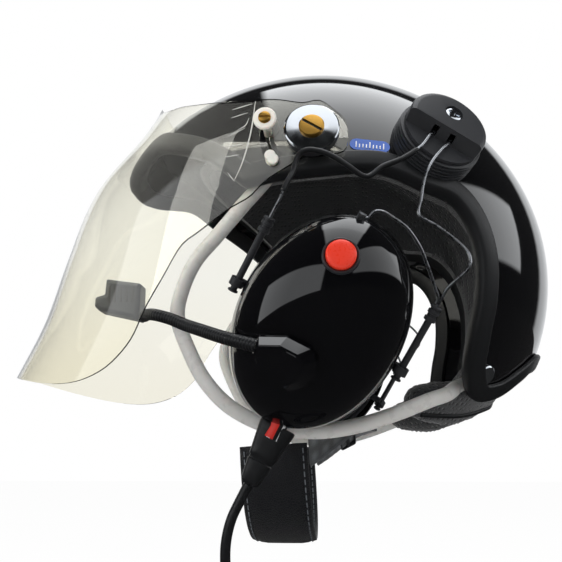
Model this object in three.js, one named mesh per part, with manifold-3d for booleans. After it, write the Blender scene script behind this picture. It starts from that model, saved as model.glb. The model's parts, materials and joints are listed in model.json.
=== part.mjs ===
// Open-face paramotor helmet with a hinged visor, wire-hung ear cups and a boom microphone.
// Millimetres. The front of the helmet is -X, the wearer's left is -Y and up is +Z.
// The origin is the crown of the head, where the comfort lining rests on the wearer.
import * as THREE from 'three';
import { mergeVertices } from 'three/addons/utils/BufferGeometryUtils.js';
import Module from 'manifold-3d';

const wasm = await Module();
wasm.setup();

// Clearance between pieces, and how far a cutter runs past what it cuts
const gap = 0.3;
const overrun = 6;

// Dome of the shell: outer semi-axes and wall
const shellHalfLength = 141.5;
const shellHalfWidth = 116;
const shellHalfHeight = 134.3;
const shellWall = 4;
const linerThickness = 25;
const liningThickness = 7;

// Edge trim: how far it laps the shell, its thickness and its lip below the edge
const trimLap = 8.5;
const trimThickness = 2.2;
const trimLip = 2;

// How far the liner and the lining stay back from the edge of the shell
const linerSetback = 12;
const liningSetback = 10;
const setbackKeepShare = 0.97;

// Side view of the opening, in shares of the dome's half length and half height
const browShares = [
  [-1.3, 0.35], [-0.88, 0.484], [-0.76, 0.53], [-0.681, 0.541], [-0.575, 0.481], [-0.413, 0.377], [-0.243, 0.22],
];
const archShares = [
  [-0.243, 0.22], [-0.15, 0.24], [0, 0.254], [0.234, 0.2725], [0.31, 0.255], [0.42, 0.205], [0.52, 0.172],
  [0.585, 0.085], [0.622, -0.06], [0.615, -0.22], [0.587, -0.357], [0.57, -0.5], [0.598, -0.582],
  [0.68, -0.572], [0.8, -0.493], [0.87, -0.437], [0.902, -0.427], [1.3, -0.35],
];
const openingFloorShare = -1.3;
const browSteps = 7;
const archSteps = 17;

// Neck roll: an arc round the nape, in shares of the dome, and its thickness
const rollLengthShare = 0.693;
const rollWidthShare = 0.638;
const rollNapeHeightShare = -0.469;
const rollEndHeightShare = -0.6;
const rollEndAngle = 60;
const rollDropShare = 0.72;
const rollTaper = 6;
const rollRadius = 13;
const rollEndRadius = 5;
const rollSteps = 12;
const rollSides = 8;

// Visor: a bowed sheet, its front reach and half width at heights above the dome's centre
const visorSheet = 2;
const visorReachShares = [
  [-0.6, 1.4], [-0.521, 1.374], [-0.223, 1.236], [0.074, 1.143], [0.372, 1.03], [0.633, 0.818], [0.93, 0.73],
];
const visorWidthShares = [
  [-0.6, 0.922], [0, 0.983], [0.2, 1.015], [0.5, 1.015], [0.67, 0.964], [0.93, 0.58],
];
const visorTopShares = [
  [-0.78, 0.9], [-0.743, 0.895], [-0.721, 0.871], [-0.675, 0.722], [-0.58, 0.64], [-0.53, 0.622], [-0.435, 0.588],
  [-0.267, 0.555], [-0.129, 0.54], [-0.025, 0.5175], [0.033, 0.5257], [0.089, 0.481], [0.131, 0.429],
  [0.124, 0.317], [0.069, 0.2986], [-0.029, 0.2904],
];
const visorLowShares = [
  [-0.029, 0.2904], [-0.17, 0.201], [-0.222, 0.149], [-0.294, 0.112], [-0.419, 0.03], [-0.481, -0.011],
  [-0.555, -0.13], [-0.623, -0.246], [-0.679, -0.369], [-0.751, -0.4505], [-0.813, -0.491], [-0.91, -0.521],
  [-1.041, -0.521], [-1.237, -0.48], [-1.38, -0.43],
];
const visorRowStep = 26;
const visorColumns = 28;
const visorTopSteps = 18;
const visorLowSteps = 11;

// Visor pivot and its arc slot
const pivotLengthShare = 0.0057;
const pivotHeightShare = 0.391;
const bossRadius = 9;
const bossFootShare = 0.8;
const bossClearance = 1.6;
const discRadius = 14.25;
const discThickness = 2;
const discTilt = 12;
const discStandOff = 3.3;
const washerRadius = 13.9;
const pivotScrewHeadRadius = 6.5;
const pivotScrewHeadHeight = 1.6;
const pivotShankRadius = 3;
const pivotShankFootShare = 0.86;
const screwSlotWidth = 1.4;
const pivotScrewTurn = 35;
const slotRadius = 24.8;
const slotWidth = 5;
const slotKnobAngle = 165;
const slotLowAngle = 213;
const knobShankRadius = 2.2;
const knobShankFootShare = 0.83;
const knobCollarRadius = 4.4;
const knobCollarHeight = 2.8;
const knobFlangeRadius = 6;
const knobFlangeHeight = 2.6;
const knobScrewRadius = 3.25;
const knobScrewHeight = 1;
const stopRadius = 4.2;
const stopLobeShare = 0.7;
const stopSpreadShare = 0.3;
const stopHeight = 2.2;
const stopInnerHeight = 1;

// Tube hoop in front of each ear, as a route in shares of the dome
const hoopRadius = 4;
const hoopSides = 8;
const hoopSteps = 26;
const hoopShares = [
  [-0.127, -0.8, 0.35], [-0.189, -0.838, 0.245], [-0.274, -0.828, 0.145], [-0.366, -0.784, 0.046],
  [-0.453, -0.75, -0.051], [-0.505, -0.724, -0.165], [-0.52, -0.716, -0.266], [-0.47, -0.707, -0.414],
  [-0.407, -0.707, -0.529], [-0.315, -0.707, -0.626], [-0.182, -0.707, -0.696], [-0.058, -0.707, -0.718],
  [0.033, -0.703, -0.719], [0.159, -0.694, -0.697], [0.307, -0.664, -0.647], [0.421, -0.621, -0.599],
  [0.489, -0.562, -0.573], [0.537, -0.484, -0.54], [0.594, -0.446, -0.514], [0.636, -0.436, -0.491],
];
const rivetShares = [0.632, -0.59, -0.497];
const rivetHeadRadius = 5.4;
const rivetHeadHeight = 1.8;
const rivetShankRadius = 2;
const rivetProfileShares = [[1, 0], [1, 0.4], [0.8, 0.85], [0.4, 1]];

// Swivel puck on the side of the shell: threaded base, cap with the wires' cross bore
const puckShares = [0.456, -0.799, 0.391];
const puckAxisShares = [0.395, -0.846, 0.358];
const puckDropShares = [-0.355, -0.5, -0.79];
const puckBaseRadius = 23.5;
const puckBaseHeight = 10;
const puckBaseSink = 4;
const threadDepth = 0.7;
const threadCount = 3;
const capRadius = 21.8;
const capHeight = 9.5;
const capChamfer = 2;
const capRimHeight = 2;
const capFaceOffset = 5;
const capFaceSlope = 0.42;
const capScrewRadius = 5;
const capScrewDepth = 2.5;
const capScrewPlaceShare = 0.4;
const capCrossShare = 0.7;
const borePitch = 4.8;
const boreHeight = 3.5;
const boreHalfLength = 10;
const boreSetback = 1;
const wireCornerShare = 0.6;
const wireBendShare = 2.4;

// Wires and the sleeves that they slide in
const wireRadius = 0.8;
const sheathRadius = 1.4;
const wireSides = 5;
const sleeveBore = 1.2;
const sleeveRadius = 1.8;
const sleeveCollarRadius = 3;
const sleeveCollarHeight = 8;
const sleeveFlangeRadius = 2.7;
const sleeveFlangeHeight = 1.2;
const sleeveSpacing = 45.5;
const sleeveLow = -6;
const sleeveHigh = 34;
const slideTravel = 10;
const frontWireShares = [
  [0.434, -0.974, 0.383], [0.391, -1.026, 0.314], [0.324, -1.052, 0.259], [0.252, -1.069, 0.223],
  [0.195, -1.086, 0.18], [0.131, -1.103, 0.219], [0.082, -1.112, 0.253], [0.04, -1.116, 0.273],
  [-0.008, -1.116, 0.281], [-0.036, -1.116, 0.266], [-0.051, -1.116, 0.229], [-0.057, -1.118, 0.2],
  [-0.079, -1.135, 0.15],
];
const frontSheathEndShare = 0.74;
const rearWireShares = [
  [0.472, -0.978, 0.32], [0.419, -1.034, 0.235], [0.396, -1.043, 0.172], [0.382, -1.047, 0.096],
  [0.372, -1.052, 0.042], [0.438, -1.052, -0.011], [0.503, -1.05, -0.07], [0.533, -1.055, -0.114],
  [0.532, -1.06, -0.16],
];
const bailShares = [
  [0.194, -1.164, 0], [0.214, -1.172, 0.019], [0.242, -1.172, 0.019], [0.284, -1.164, -0.007],
  [0.32, -1.151, -0.034], [0.365, -1.121, -0.1], [0.389, -1.091, -0.16], [0.412, -1.056, -0.225],
];
const frontWireSteps = 40;
const rearWireSteps = 32;
const bailSteps = 16;

// Ear cup: place and directions, rim ellipse, bulge, back plate and cushion
const cupShares = [0.0254, -0.9595, -0.338];
const cupOutShares = [-0.06, -0.931, -0.36];
const cupLongShares = [0.4867, -0.3427, 0.8039];
const cupHalfLength = 56;
const cupHalfWidth = 41.3;
const cupDepth = 35;
const cupWall = 2.6;
const cupBulge = 2.2;
const cupRimBand = 6;
const cupRingShares = [0.28, 0.5, 0.7, 0.86, 0.96];
const cupGrooveDepth = 0.5;
const cupSides = 18;
const plateInset = 3;
const plateThickness = 5;
const plateBore = 17;
const speakerRadius = 21;
const speakerHeight = 9;
const speakerMagnetRadius = 12;
const speakerMagnetHeight = 6;
const cushionInset = 4;
const cushionHeight = 16;
const cushionWidth = 17;
const lugWidth = 4;
const lugThickness = 3;
const lugRing = 3.7;
const clipShares = [-0.165, 0.985];
const clipWidth = 4;
const clipHeight = 7;
const clipDepth = 9.6;

// Talk button on the left cup
const buttonShares = [-0.155, 0.657];
const bezelRadius = 8.75;
const bezelStandOff = 1.4;
const bezelDepth = 7;
const bezelFloor = 1.6;
const buttonRadius = 7;
const buttonTravel = 2;
const buttonRise = 2.6;
const buttonFoot = 1.2;

// Microphone boom on the left cup
const boomPivotShares = [-0.073, -0.286];
const boomAxisShares = [-0.05, -0.144, 0.988];
const boomSeatRadius = 9.5;
const boomSeatHeight = 1.2;
const housingHeight = 8.6;
const housingBevel = 1.3;
const housingLength = 32;
const housingOutlineShares = [
  [-0.578, 0.17], [-0.588, -0.03], [-0.44, -0.17], [-0.06, -0.33], [0.17, -0.33],
  [0.33, -0.14], [0.375, 0.09], [0.31, 0.266], [0.14, 0.39], [-0.22, 0.375],
];
const boomRadius = 3.25;
const boomRib = 0.35;
const boomRibs = 18;
const boomShares = [
  [-0.286, -1.121, -0.414], [-0.39, -0.991, -0.365], [-0.458, -0.905, -0.332], [-0.526, -0.841, -0.297],
  [-0.59, -0.785, -0.272], [-0.645, -0.67, -0.25], [-0.69, -0.515, -0.232],
];
const micHalfWidth = 8;
const micBevel = 1.5;
const micPlaceShares = [-0.802, -0.46, -0.16];
const micSize = 27;
const micOutlineShares = [
  [-0.27, 0.47], [0.47, 0.36], [0.475, -0.22], [0.46, -0.42], [-0.4, -0.22], [-0.5, -0.12], [-0.49, 0.07], [-0.29, 0.13],
];

// Lead: its plug socket ring, boot, cord and coil
const ringRadius = 4.6;
const ringLength = 7;
const ringBandWidth = 2.2;
const ringBandDepth = 0.4;
const bootStartWidth = 19;
const bootStartDepth = 13;
const bootEndWidth = 9;
const bootLength = 31;
const bootSteps = 4;
const bootSides = 12;
const bootShares = [-0.125, -0.862, -0.703];
const bootDirectionShares = [-0.46, -0.01, -0.888];
const cordRadius = 2.5;
const cordSides = 6;
const cordSteps = 20;
const cordRoute = [
  [-32.4, -100.3, -122.7], [-36.4, -100.4, -130.4], [-40.5, -100.3, -139], [-43, -99.6, -150], [-43, -98, -162],
  [-40.5, -95.6, -174], [-35.5, -92.2, -186], [-28, -88.4, -196], [-19, -85.2, -202.2], [-9.5, -83.9, -204.1],
  [-5, -83.9, -204.1], [-0.6, -83.9, -204.1],
];
const coilCentre = [0, -50, -209.6];
const coilMeanRadius = 27;
const coilPitch = 5.5;
const coilTurns = 2.5;
const coilDip = 1.2;
const tailShares = [0.35, 0.75, 1];
const coilSides = 6;
const coilStepsPerTurn = 20;
const plugRadius = 5;
const plugLength = 26;
const plugTipRadius = 1.75;
const plugTipLength = 14;
const plugNeckShare = 1.3;
const plugShoulderShare = 0.2;
const plugGripShare = 0.6;
const plugBarrelShare = 0.8;
const plugPointShare = 0.5;

// Chin strap: webbing, chin pad and buckle
const strapWidth = 20;
const strapThickness = 2;
const strapShares = [
  [0.254, -0.556, -0.672], [0.17, -0.543, -0.682], [0.085, -0.526, -0.722], [0.014, -0.49, -0.765], [-0.031, -0.46, -0.79],
];
const strapWidthWay = [[0, 1, 0], [0, 1, 0.1], [0, 1, 0.3], [0, 0.8, 0.6], [0.1, 0.5, 0.85]];
const strapSteps = 12;
const padWidth = 38;
const padThickness = 5;
const padPlaceShare = -0.175;
const padSlantShare = 0.06;
const padSideShares = [[0.43, -0.765], [0.433, -0.84], [0.42, -0.93], [0.36, -1.04], [0.24, -1.12], [0, -1.165]];
const padSteps = 20;
const buckleLength = 12;
const buckleRail = 3;
const bucklePlaceShare = 0.45;

// Facets of the domes: the outer faces, and the softer inner ones
const domeColumns = 26;
const domeRows = 15;
const innerColumns = 20;
const innerRows = 12;

// Facets round turned pieces: large, medium and small
const largeSides = 20;
const mediumSides = 12;
const smallSides = 8;

const linerInset = shellWall + gap;
const liningInset = linerInset + linerThickness + gap;
const headInset = liningInset + liningThickness;
const crownHeight = shellHalfHeight - headInset;

// Closed solids from geometry, and back
function solidOf(geometry) {
  const bare = geometry.clone();
  bare.deleteAttribute('normal');
  bare.deleteAttribute('uv');
  const merged = mergeVertices(bare);
  const mesh = new wasm.Mesh({
    numProp: 3,
    vertProperties: Float32Array.from(merged.attributes.position.array),
    triVerts: Uint32Array.from(merged.index.array),
  });
  return new wasm.Manifold(mesh);
}

function geometryOf(solid) {
  const mesh = solid.getMesh();
  const geometry = new THREE.BufferGeometry();
  geometry.setAttribute('position', new THREE.BufferAttribute(mesh.vertProperties, 3));
  geometry.setIndex(new THREE.BufferAttribute(mesh.triVerts, 1));
  geometry.computeVertexNormals();
  return geometry;
}

function cut(solid, ...cutters) {
  return cutters.reduce((left, cutter) => left.subtract(cutter), solid);
}

// The largest body that a cut leaves
function largest(solid) {
  return solid.decompose().reduce((best, body) => (body.volume() > best.volume() ? body : best));
}

// Rings of points joined side by side, with a fan over each end, or round to the start again
function loft(rings, round = false) {
  const sides = rings[0].length;
  const points = rings.flat();
  const faces = [];
  const last = round ? rings.length : rings.length - 1;
  for (let i = 0; i < last; i++) {
    const next = (i + 1) % rings.length;
    for (let j = 0; j < sides; j++) {
      const k = (j + 1) % sides;
      faces.push(i * sides + j, i * sides + k, next * sides + k);
      faces.push(i * sides + j, next * sides + k, next * sides + j);
    }
  }
  if (!round) {
    for (const end of [0, rings.length - 1]) {
      const centre = points.length;
      const middle = new THREE.Vector3();
      rings[end].forEach((p) => middle.add(p));
      points.push(middle.divideScalar(sides));
      for (let j = 0; j < sides; j++) {
        const k = (j + 1) % sides;
        const [from, to] = end === 0 ? [k, j] : [j, k];
        faces.push(end * sides + from, end * sides + to, centre);
      }
    }
  }
  return facingOut(points, faces);
}

// The winding is turned over where the faces look inwards
function facingOut(points, faces) {
  let volume = 0;
  for (let i = 0; i < faces.length; i += 3) {
    const [a, b, c] = [points[faces[i]], points[faces[i + 1]], points[faces[i + 2]]];
    volume += a.dot(b.clone().cross(c));
  }
  if (volume < 0) {
    faces.reverse();
  }
  const geometry = new THREE.BufferGeometry();
  geometry.setFromPoints(points);
  geometry.setIndex(faces);
  geometry.computeVertexNormals();
  return geometry;
}

function vectors(rows) {
  return rows.map((row) => new THREE.Vector3(...row));
}

// A place given in shares of the dome's half length, half width and half height
function inShell([length, width, height]) {
  return new THREE.Vector3(length * shellHalfLength, width * shellHalfWidth, height * shellHalfHeight);
}

function smoothRoute(points) {
  return new THREE.CatmullRomCurve3(points, false, 'centripetal');
}

// A round bar along a curve; its radius may change on the way
function bar(curve, steps, sides, radiusAt) {
  const frames = curve.computeFrenetFrames(steps);
  const rings = [];
  for (let i = 0; i <= steps; i++) {
    const centre = curve.getPointAt(i / steps);
    const radius = radiusAt(i / steps, i);
    const ring = [];
    for (let j = 0; j < sides; j++) {
      const turn = (j / sides) * Math.PI * 2;
      const point = centre.clone();
      point.addScaledVector(frames.normals[i], Math.cos(turn) * radius);
      point.addScaledVector(frames.binormals[i], Math.sin(turn) * radius);
      ring.push(point);
    }
    rings.push(ring);
  }
  return loft(rings);
}

// A flat band along a curve: at each step the given direction is its width
function band(curve, steps, width, thickness, widthWayAt) {
  const rings = [];
  for (let i = 0; i <= steps; i++) {
    const centre = curve.getPointAt(i / steps);
    const along = curve.getTangentAt(i / steps);
    const across = widthWayAt(i / steps).clone();
    across.addScaledVector(along, -across.dot(along)).normalize();
    const out = along.clone().cross(across);
    const corner = (w, t) => (
      centre.clone().addScaledVector(across, (w * width) / 2).addScaledVector(out, (t * thickness) / 2)
    );
    rings.push([corner(-1, -1), corner(1, -1), corner(1, 1), corner(-1, 1)]);
  }
  return loft(rings);
}

// A profile of radius and height turned round Z
function turned(profile, sides) {
  const geometry = new THREE.LatheGeometry(profile.map(([r, h]) => new THREE.Vector2(r, h)), sides);
  geometry.rotateX(Math.PI / 2);
  return geometry;
}

// A pin along Z between two heights
function pin(radius, low, high, sides = mediumSides) {
  const geometry = new THREE.CylinderGeometry(radius, radius, high - low, sides);
  geometry.rotateX(Math.PI / 2);
  geometry.translate(0, 0, (low + high) / 2);
  return geometry;
}

function block(lowX, highX, lowY, highY, lowZ, highZ) {
  const geometry = new THREE.BoxGeometry(highX - lowX, highY - lowY, highZ - lowZ);
  geometry.translate((lowX + highX) / 2, (lowY + highY) / 2, (lowZ + highZ) / 2);
  return geometry;
}

// A side view run right across the helmet, from the wearer's left to the right
function across(outline, halfWidth = shellHalfWidth + overrun * 4) {
  const shape = new THREE.Shape(outline);
  const geometry = new THREE.ExtrudeGeometry(shape, { depth: halfWidth * 2, bevelEnabled: false });
  geometry.rotateX(Math.PI / 2);
  geometry.translate(0, halfWidth, 0);
  return geometry;
}

// The dome, drawn in by an inset or, below zero, grown
function dome(inset, columns = domeColumns, rows = domeRows) {
  const geometry = new THREE.SphereGeometry(1, columns, rows);
  geometry.rotateX(Math.PI / 2);
  geometry.scale(shellHalfLength - inset, shellHalfWidth - inset, shellHalfHeight - inset);
  return solidOf(geometry);
}

// The edge of the opening in side view, moved up into the shell by a distance
function sampled(shares, steps) {
  const flat = shares.map(([x, z]) => new THREE.Vector3(x * shellHalfLength, z * shellHalfHeight, 0));
  return smoothRoute(flat).getSpacedPoints(steps).map((p) => new THREE.Vector2(p.x, p.y));
}

const openingEdge = [...sampled(browShares, browSteps), ...sampled(archShares, archSteps).slice(1)];

function distanceToEdge(point) {
  let nearest = Infinity;
  for (let i = 1; i < openingEdge.length; i++) {
    const start = openingEdge[i - 1];
    const way = openingEdge[i].clone().sub(start);
    const reach = THREE.MathUtils.clamp(point.clone().sub(start).dot(way) / way.lengthSq(), 0, 1);
    nearest = Math.min(nearest, point.distanceTo(start.clone().addScaledVector(way, reach)));
  }
  return nearest;
}

function movedEdge(distance) {
  if (distance === 0) {
    return openingEdge;
  }
  const moved = openingEdge.map((point, i) => {
    const before = openingEdge[Math.max(i - 1, 0)];
    const after = openingEdge[Math.min(i + 1, openingEdge.length - 1)];
    const way = after.clone().sub(before).normalize();
    return point.clone().add(new THREE.Vector2(-way.y, way.x).multiplyScalar(distance));
  });
  return moved.filter((point) => distanceToEdge(point) > Math.abs(distance) * setbackKeepShare);
}

function opening(distance) {
  const edge = movedEdge(distance);
  const floor = openingFloorShare * shellHalfHeight;
  const outline = [...edge, new THREE.Vector2(edge.at(-1).x, floor), new THREE.Vector2(edge[0].x, floor)];
  return solidOf(across(outline));
}

// Tube hoop, and the same hoop grown for the channels that it lies in
const hoopRoute = smoothRoute(hoopShares.map(inShell));

function hoopGeometry(growth) {
  return bar(hoopRoute, hoopSteps, hoopSides, () => hoopRadius + growth);
}

// A geometry and its mirror image on the other side of the helmet
function mirrored(geometry) {
  const copy = geometry.index ? geometry.clone() : mergeVertices(geometry.clone());
  copy.scale(1, -1, 1);
  copy.setIndex(Array.from(copy.index.array).reverse());
  copy.computeVertexNormals();
  return copy;
}

function onBothSides(geometry) {
  return solidOf(geometry).add(solidOf(mirrored(geometry)));
}

// Neck roll: an arc of padding whose ends taper
function neckRollGeometry(growth) {
  const rings = [];
  for (let i = 0; i <= rollSteps; i++) {
    const share = (i / rollSteps) * 2 - 1;
    const angle = THREE.MathUtils.degToRad(share * rollEndAngle);
    const drop = THREE.MathUtils.smoothstep(Math.abs(share), 0, rollDropShare);
    const centre = new THREE.Vector3(
      rollLengthShare * shellHalfLength * Math.cos(angle),
      rollWidthShare * shellHalfWidth * Math.sin(angle),
      THREE.MathUtils.lerp(rollNapeHeightShare, rollEndHeightShare, drop) * shellHalfHeight,
    );
    const fullness = Math.sqrt(Math.max(1 - Math.abs(share) ** rollTaper, 0));
    const radius = THREE.MathUtils.lerp(rollEndRadius, rollRadius, fullness) + growth;
    const outward = new THREE.Vector3(Math.cos(angle), Math.sin(angle), 0);
    const ring = [];
    for (let j = 0; j < rollSides; j++) {
      const turn = (j / rollSides) * Math.PI * 2;
      const point = centre.clone().addScaledVector(outward, Math.cos(turn) * radius);
      point.z += Math.sin(turn) * radius;
      ring.push(point);
    }
    rings.push(ring);
  }
  return loft(rings);
}

// Visor sheet: stacked ellipses, their reach and width from smooth curves over the height
function valueAt(shares, height) {
  const last = shares.length - 1;
  const at = THREE.MathUtils.clamp(height, shares[0][0], shares[last][0]);
  let i = 1;
  while (i < last && shares[i][0] < at) {
    i += 1;
  }
  const [[h0, v0], [h1, v1]] = [shares[i - 1], shares[i]];
  const slope = (k) => {
    const a = shares[Math.max(k - 1, 0)];
    const b = shares[Math.min(k + 1, last)];
    return (b[1] - a[1]) / (b[0] - a[0]);
  };
  const span = h1 - h0;
  const t = (at - h0) / span;
  const rise = 3 * t * t - 2 * t * t * t;
  return v0 + (v1 - v0) * rise + span * (slope(i - 1) * t * (1 - t) ** 2 - slope(i) * t * t * (1 - t));
}

function visorBody(inset) {
  const low = visorReachShares[0][0] * shellHalfHeight;
  const high = visorReachShares.at(-1)[0] * shellHalfHeight;
  const rows = Math.round((high - low) / visorRowStep);
  const rings = [];
  for (let i = 0; i <= rows; i++) {
    const height = low + ((high - low) * i) / rows;
    const reach = valueAt(visorReachShares, height / shellHalfHeight) * shellHalfLength - inset;
    const halfWidth = valueAt(visorWidthShares, height / shellHalfHeight) * shellHalfWidth - inset;
    const ring = [];
    for (let j = 0; j < visorColumns; j++) {
      const turn = (j / visorColumns) * Math.PI * 2;
      ring.push(new THREE.Vector3(Math.cos(turn) * reach, Math.sin(turn) * halfWidth, height));
    }
    rings.push(ring);
  }
  return solidOf(loft(rings));
}

const pivotX = pivotLengthShare * shellHalfLength;
const pivotZ = pivotHeightShare * shellHalfHeight;
const visorOuterY = valueAt(visorWidthShares, pivotHeightShare) * shellHalfWidth;
const visorInnerY = visorOuterY - visorSheet;
const knobAngle = THREE.MathUtils.degToRad(slotKnobAngle);
const stopAngle = THREE.MathUtils.degToRad(slotLowAngle);
const knobX = pivotX + slotRadius * Math.cos(knobAngle);
const knobZ = pivotZ + slotRadius * Math.sin(knobAngle);

// Arc slot round the pivot: the knob stands at its top end, the stop clip in its low end
function arcSlotOutline() {
  const points = [];
  const half = slotWidth / 2;
  const steps = 8;
  const arc = (centreX, centreZ, radius, from, to, count) => {
    for (let i = 0; i <= count; i++) {
      const turn = from + ((to - from) * i) / count;
      points.push(new THREE.Vector2(centreX + radius * Math.cos(turn), centreZ + radius * Math.sin(turn)));
    }
  };
  const lowX = pivotX + slotRadius * Math.cos(stopAngle);
  const lowZ = pivotZ + slotRadius * Math.sin(stopAngle);
  arc(pivotX, pivotZ, slotRadius + half, knobAngle, stopAngle, steps);
  arc(lowX, lowZ, half, stopAngle, stopAngle + Math.PI, steps);
  arc(pivotX, pivotZ, slotRadius - half, stopAngle, knobAngle, steps);
  arc(knobX, knobZ, half, knobAngle + Math.PI, knobAngle + Math.PI * 2, steps);
  return points;
}

// A pin across the helmet, along Y, at a place in side view
function crossPin(x, z, radius, sides = smallSides) {
  const geometry = new THREE.CylinderGeometry(radius, radius, (shellHalfWidth + overrun * 4) * 2, sides);
  geometry.translate(x, 0, z);
  return solidOf(geometry);
}

function makeVisor() {
  const top = sampled(visorTopShares, visorTopSteps);
  const low = sampled(visorLowShares, visorLowSteps).slice(1);
  const frontX = low.at(-1).x;
  const outline = [...top, ...low, new THREE.Vector2(frontX, top[0].y)];
  const sheet = visorBody(0).subtract(visorBody(visorSheet)).intersect(solidOf(across(outline)));
  return cut(
    sheet,
    solidOf(across(arcSlotOutline())),
    crossPin(pivotX, pivotZ, pivotShankRadius + gap),
  );
}

// Directions of a frame as a rotation, from its X, Y and Z
function rotationOf(x, y, z) {
  return new THREE.Quaternion().setFromRotationMatrix(new THREE.Matrix4().makeBasis(x, y, z));
}

// Ear cup frame: X rearwards, Y up its long axis, Z outwards
const cupZ = new THREE.Vector3(...cupOutShares).normalize();
const cupY = new THREE.Vector3(...cupLongShares);
cupY.addScaledVector(cupZ, -cupY.dot(cupZ)).normalize();
const cupX = cupY.clone().cross(cupZ);
const cupCentre = inShell(cupShares);
const cupMatrix = new THREE.Matrix4().makeBasis(cupX, cupY, cupZ).setPosition(cupCentre);

function fromCup(x, y, z) {
  return new THREE.Vector3(x, y, z).applyMatrix4(cupMatrix);
}

// Height of the cup's bulge over a place of its rim plane
function bulgeHeight(x, y, depth = cupDepth) {
  const share = Math.hypot(x / cupHalfWidth, y / cupHalfLength);
  return depth * Math.max(1 - share ** cupBulge, 0) ** (1 / cupBulge);
}

function bulgeNormal(x, y) {
  const share = Math.hypot(x / cupHalfWidth, y / cupHalfLength) ** (cupBulge - 2);
  const height = bulgeHeight(x, y);
  return new THREE.Vector3(
    (share * x) / cupHalfWidth ** 2,
    (share * y) / cupHalfLength ** 2,
    height ** (cupBulge - 1) / cupDepth ** cupBulge,
  ).normalize();
}

// The bulge as rings of ellipses from the rim to the top, drawn in by an inset
function cupBulgeSolid(inset, low, grooved) {
  const rings = [];
  const ring = (height, share, draw) => {
    const points = [];
    for (let j = 0; j < cupSides; j++) {
      const turn = (j / cupSides) * Math.PI * 2;
      points.push(new THREE.Vector3(
        ((cupHalfWidth - inset) * share - draw) * Math.cos(turn),
        ((cupHalfLength - inset) * share - draw) * Math.sin(turn),
        height,
      ));
    }
    rings.push(points);
  };
  const depth = cupDepth - inset;
  const shareAt = (height) => Math.max(1 - (Math.max(height, 0) / depth) ** cupBulge, 0) ** (1 / cupBulge);
  ring(low, 1, 0);
  if (low < 0) {
    ring(0, 1, 0);
  }
  const groove = cupRimBand / 6;
  const bandSides = inset > 0 ? [0] : [-1, 0, 1];
  for (const side of bandSides) {
    const height = cupRimBand + side * groove;
    ring(height, shareAt(height), grooved && side === 0 ? cupGrooveDepth : 0);
  }
  for (const share of cupRingShares) {
    ring(share * depth, shareAt(share * depth), 0);
  }
  return solidOf(loft(rings));
}

function ellipsePlate(halfWidth, halfLength, low, high, sides = cupSides) {
  const geometry = pin(1, low, high, sides);
  geometry.scale(halfWidth, halfLength, 1);
  return solidOf(geometry);
}

function placed(geometry, position, rotation) {
  const copy = geometry.clone();
  copy.applyQuaternion(rotation);
  copy.translate(position.x, position.y, position.z);
  return copy;
}

const zWay = new THREE.Vector3(0, 0, 1);
const [buttonX, buttonY] = [buttonShares[0] * cupHalfWidth, buttonShares[1] * cupHalfLength];
const buttonPlace = new THREE.Vector3(buttonX, buttonY, bulgeHeight(buttonX, buttonY));
const buttonTurn = new THREE.Quaternion().setFromUnitVectors(zWay, bulgeNormal(buttonX, buttonY));
const [boomX, boomY] = [boomPivotShares[0] * cupHalfWidth, boomPivotShares[1] * cupHalfLength];
const boomPlace = new THREE.Vector3(boomX, boomY, bulgeHeight(boomX, boomY));
const boomWay = new THREE.Vector3(...boomAxisShares).normalize();
const boomTurn = new THREE.Quaternion().setFromUnitVectors(zWay, boomWay);

function makeCupShell(withControls) {
  let cup = cupBulgeSolid(0, 0, true).subtract(cupBulgeSolid(cupWall, -overrun, false));
  if (withControls) {
    const seat = solidOf(placed(pin(boomSeatRadius, -cupWall, boomSeatHeight), boomPlace, boomTurn));
    cup = cup.add(seat.subtract(cupBulgeSolid(cupWall, -overrun, false)));
    const bezelHole = pin(bezelRadius + gap * 2, -bezelDepth * 2, overrun);
    cup = cup.subtract(solidOf(placed(bezelHole, buttonPlace, buttonTurn)));
  }
  return geometryOf(cup);
}

// Back plate with the speaker's bore and two lugs that carry the sleeves
function makeCupPlate() {
  const low = -gap - plateThickness;
  const halfWidth = cupHalfWidth - plateInset;
  const cupClear = ellipsePlate(cupHalfWidth + gap, cupHalfLength + gap, -gap, overrun);
  let plate = ellipsePlate(halfWidth, cupHalfLength - plateInset, low, -gap);
  for (const side of [-1, 1]) {
    const reach = [side * (halfWidth - overrun), side * sleeveSpacing].sort((a, b) => a - b);
    const centre = sleeveLow + lugWidth;
    const arm = block(...reach, centre - lugWidth / 2, centre + lugWidth / 2, low, low + lugThickness);
    const eye = new THREE.CylinderGeometry(lugRing, lugRing, lugWidth, mediumSides);
    eye.translate(side * sleeveSpacing, centre, 0);
    plate = plate.add(solidOf(arm)).add(solidOf(eye).subtract(cupClear));
  }
  for (const side of [-1, 1]) {
    const holeRadius = sleeveRadius + gap;
    const hole = new THREE.CylinderGeometry(holeRadius, holeRadius, cupHalfLength * 2, smallSides);
    hole.translate(side * sleeveSpacing, 0, 0);
    plate = plate.subtract(solidOf(hole));
  }
  return geometryOf(plate.subtract(solidOf(pin(plateBore, low - overrun, overrun, cupSides))));
}

function makeSpeaker() {
  return turned([
    [0, gap], [speakerRadius, gap], [speakerRadius, gap + speakerHeight / 3],
    [speakerMagnetRadius, gap + speakerHeight], [speakerMagnetRadius, gap + speakerHeight + speakerMagnetHeight],
    [0, gap + speakerHeight + speakerMagnetHeight],
  ], mediumSides);
}

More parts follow.
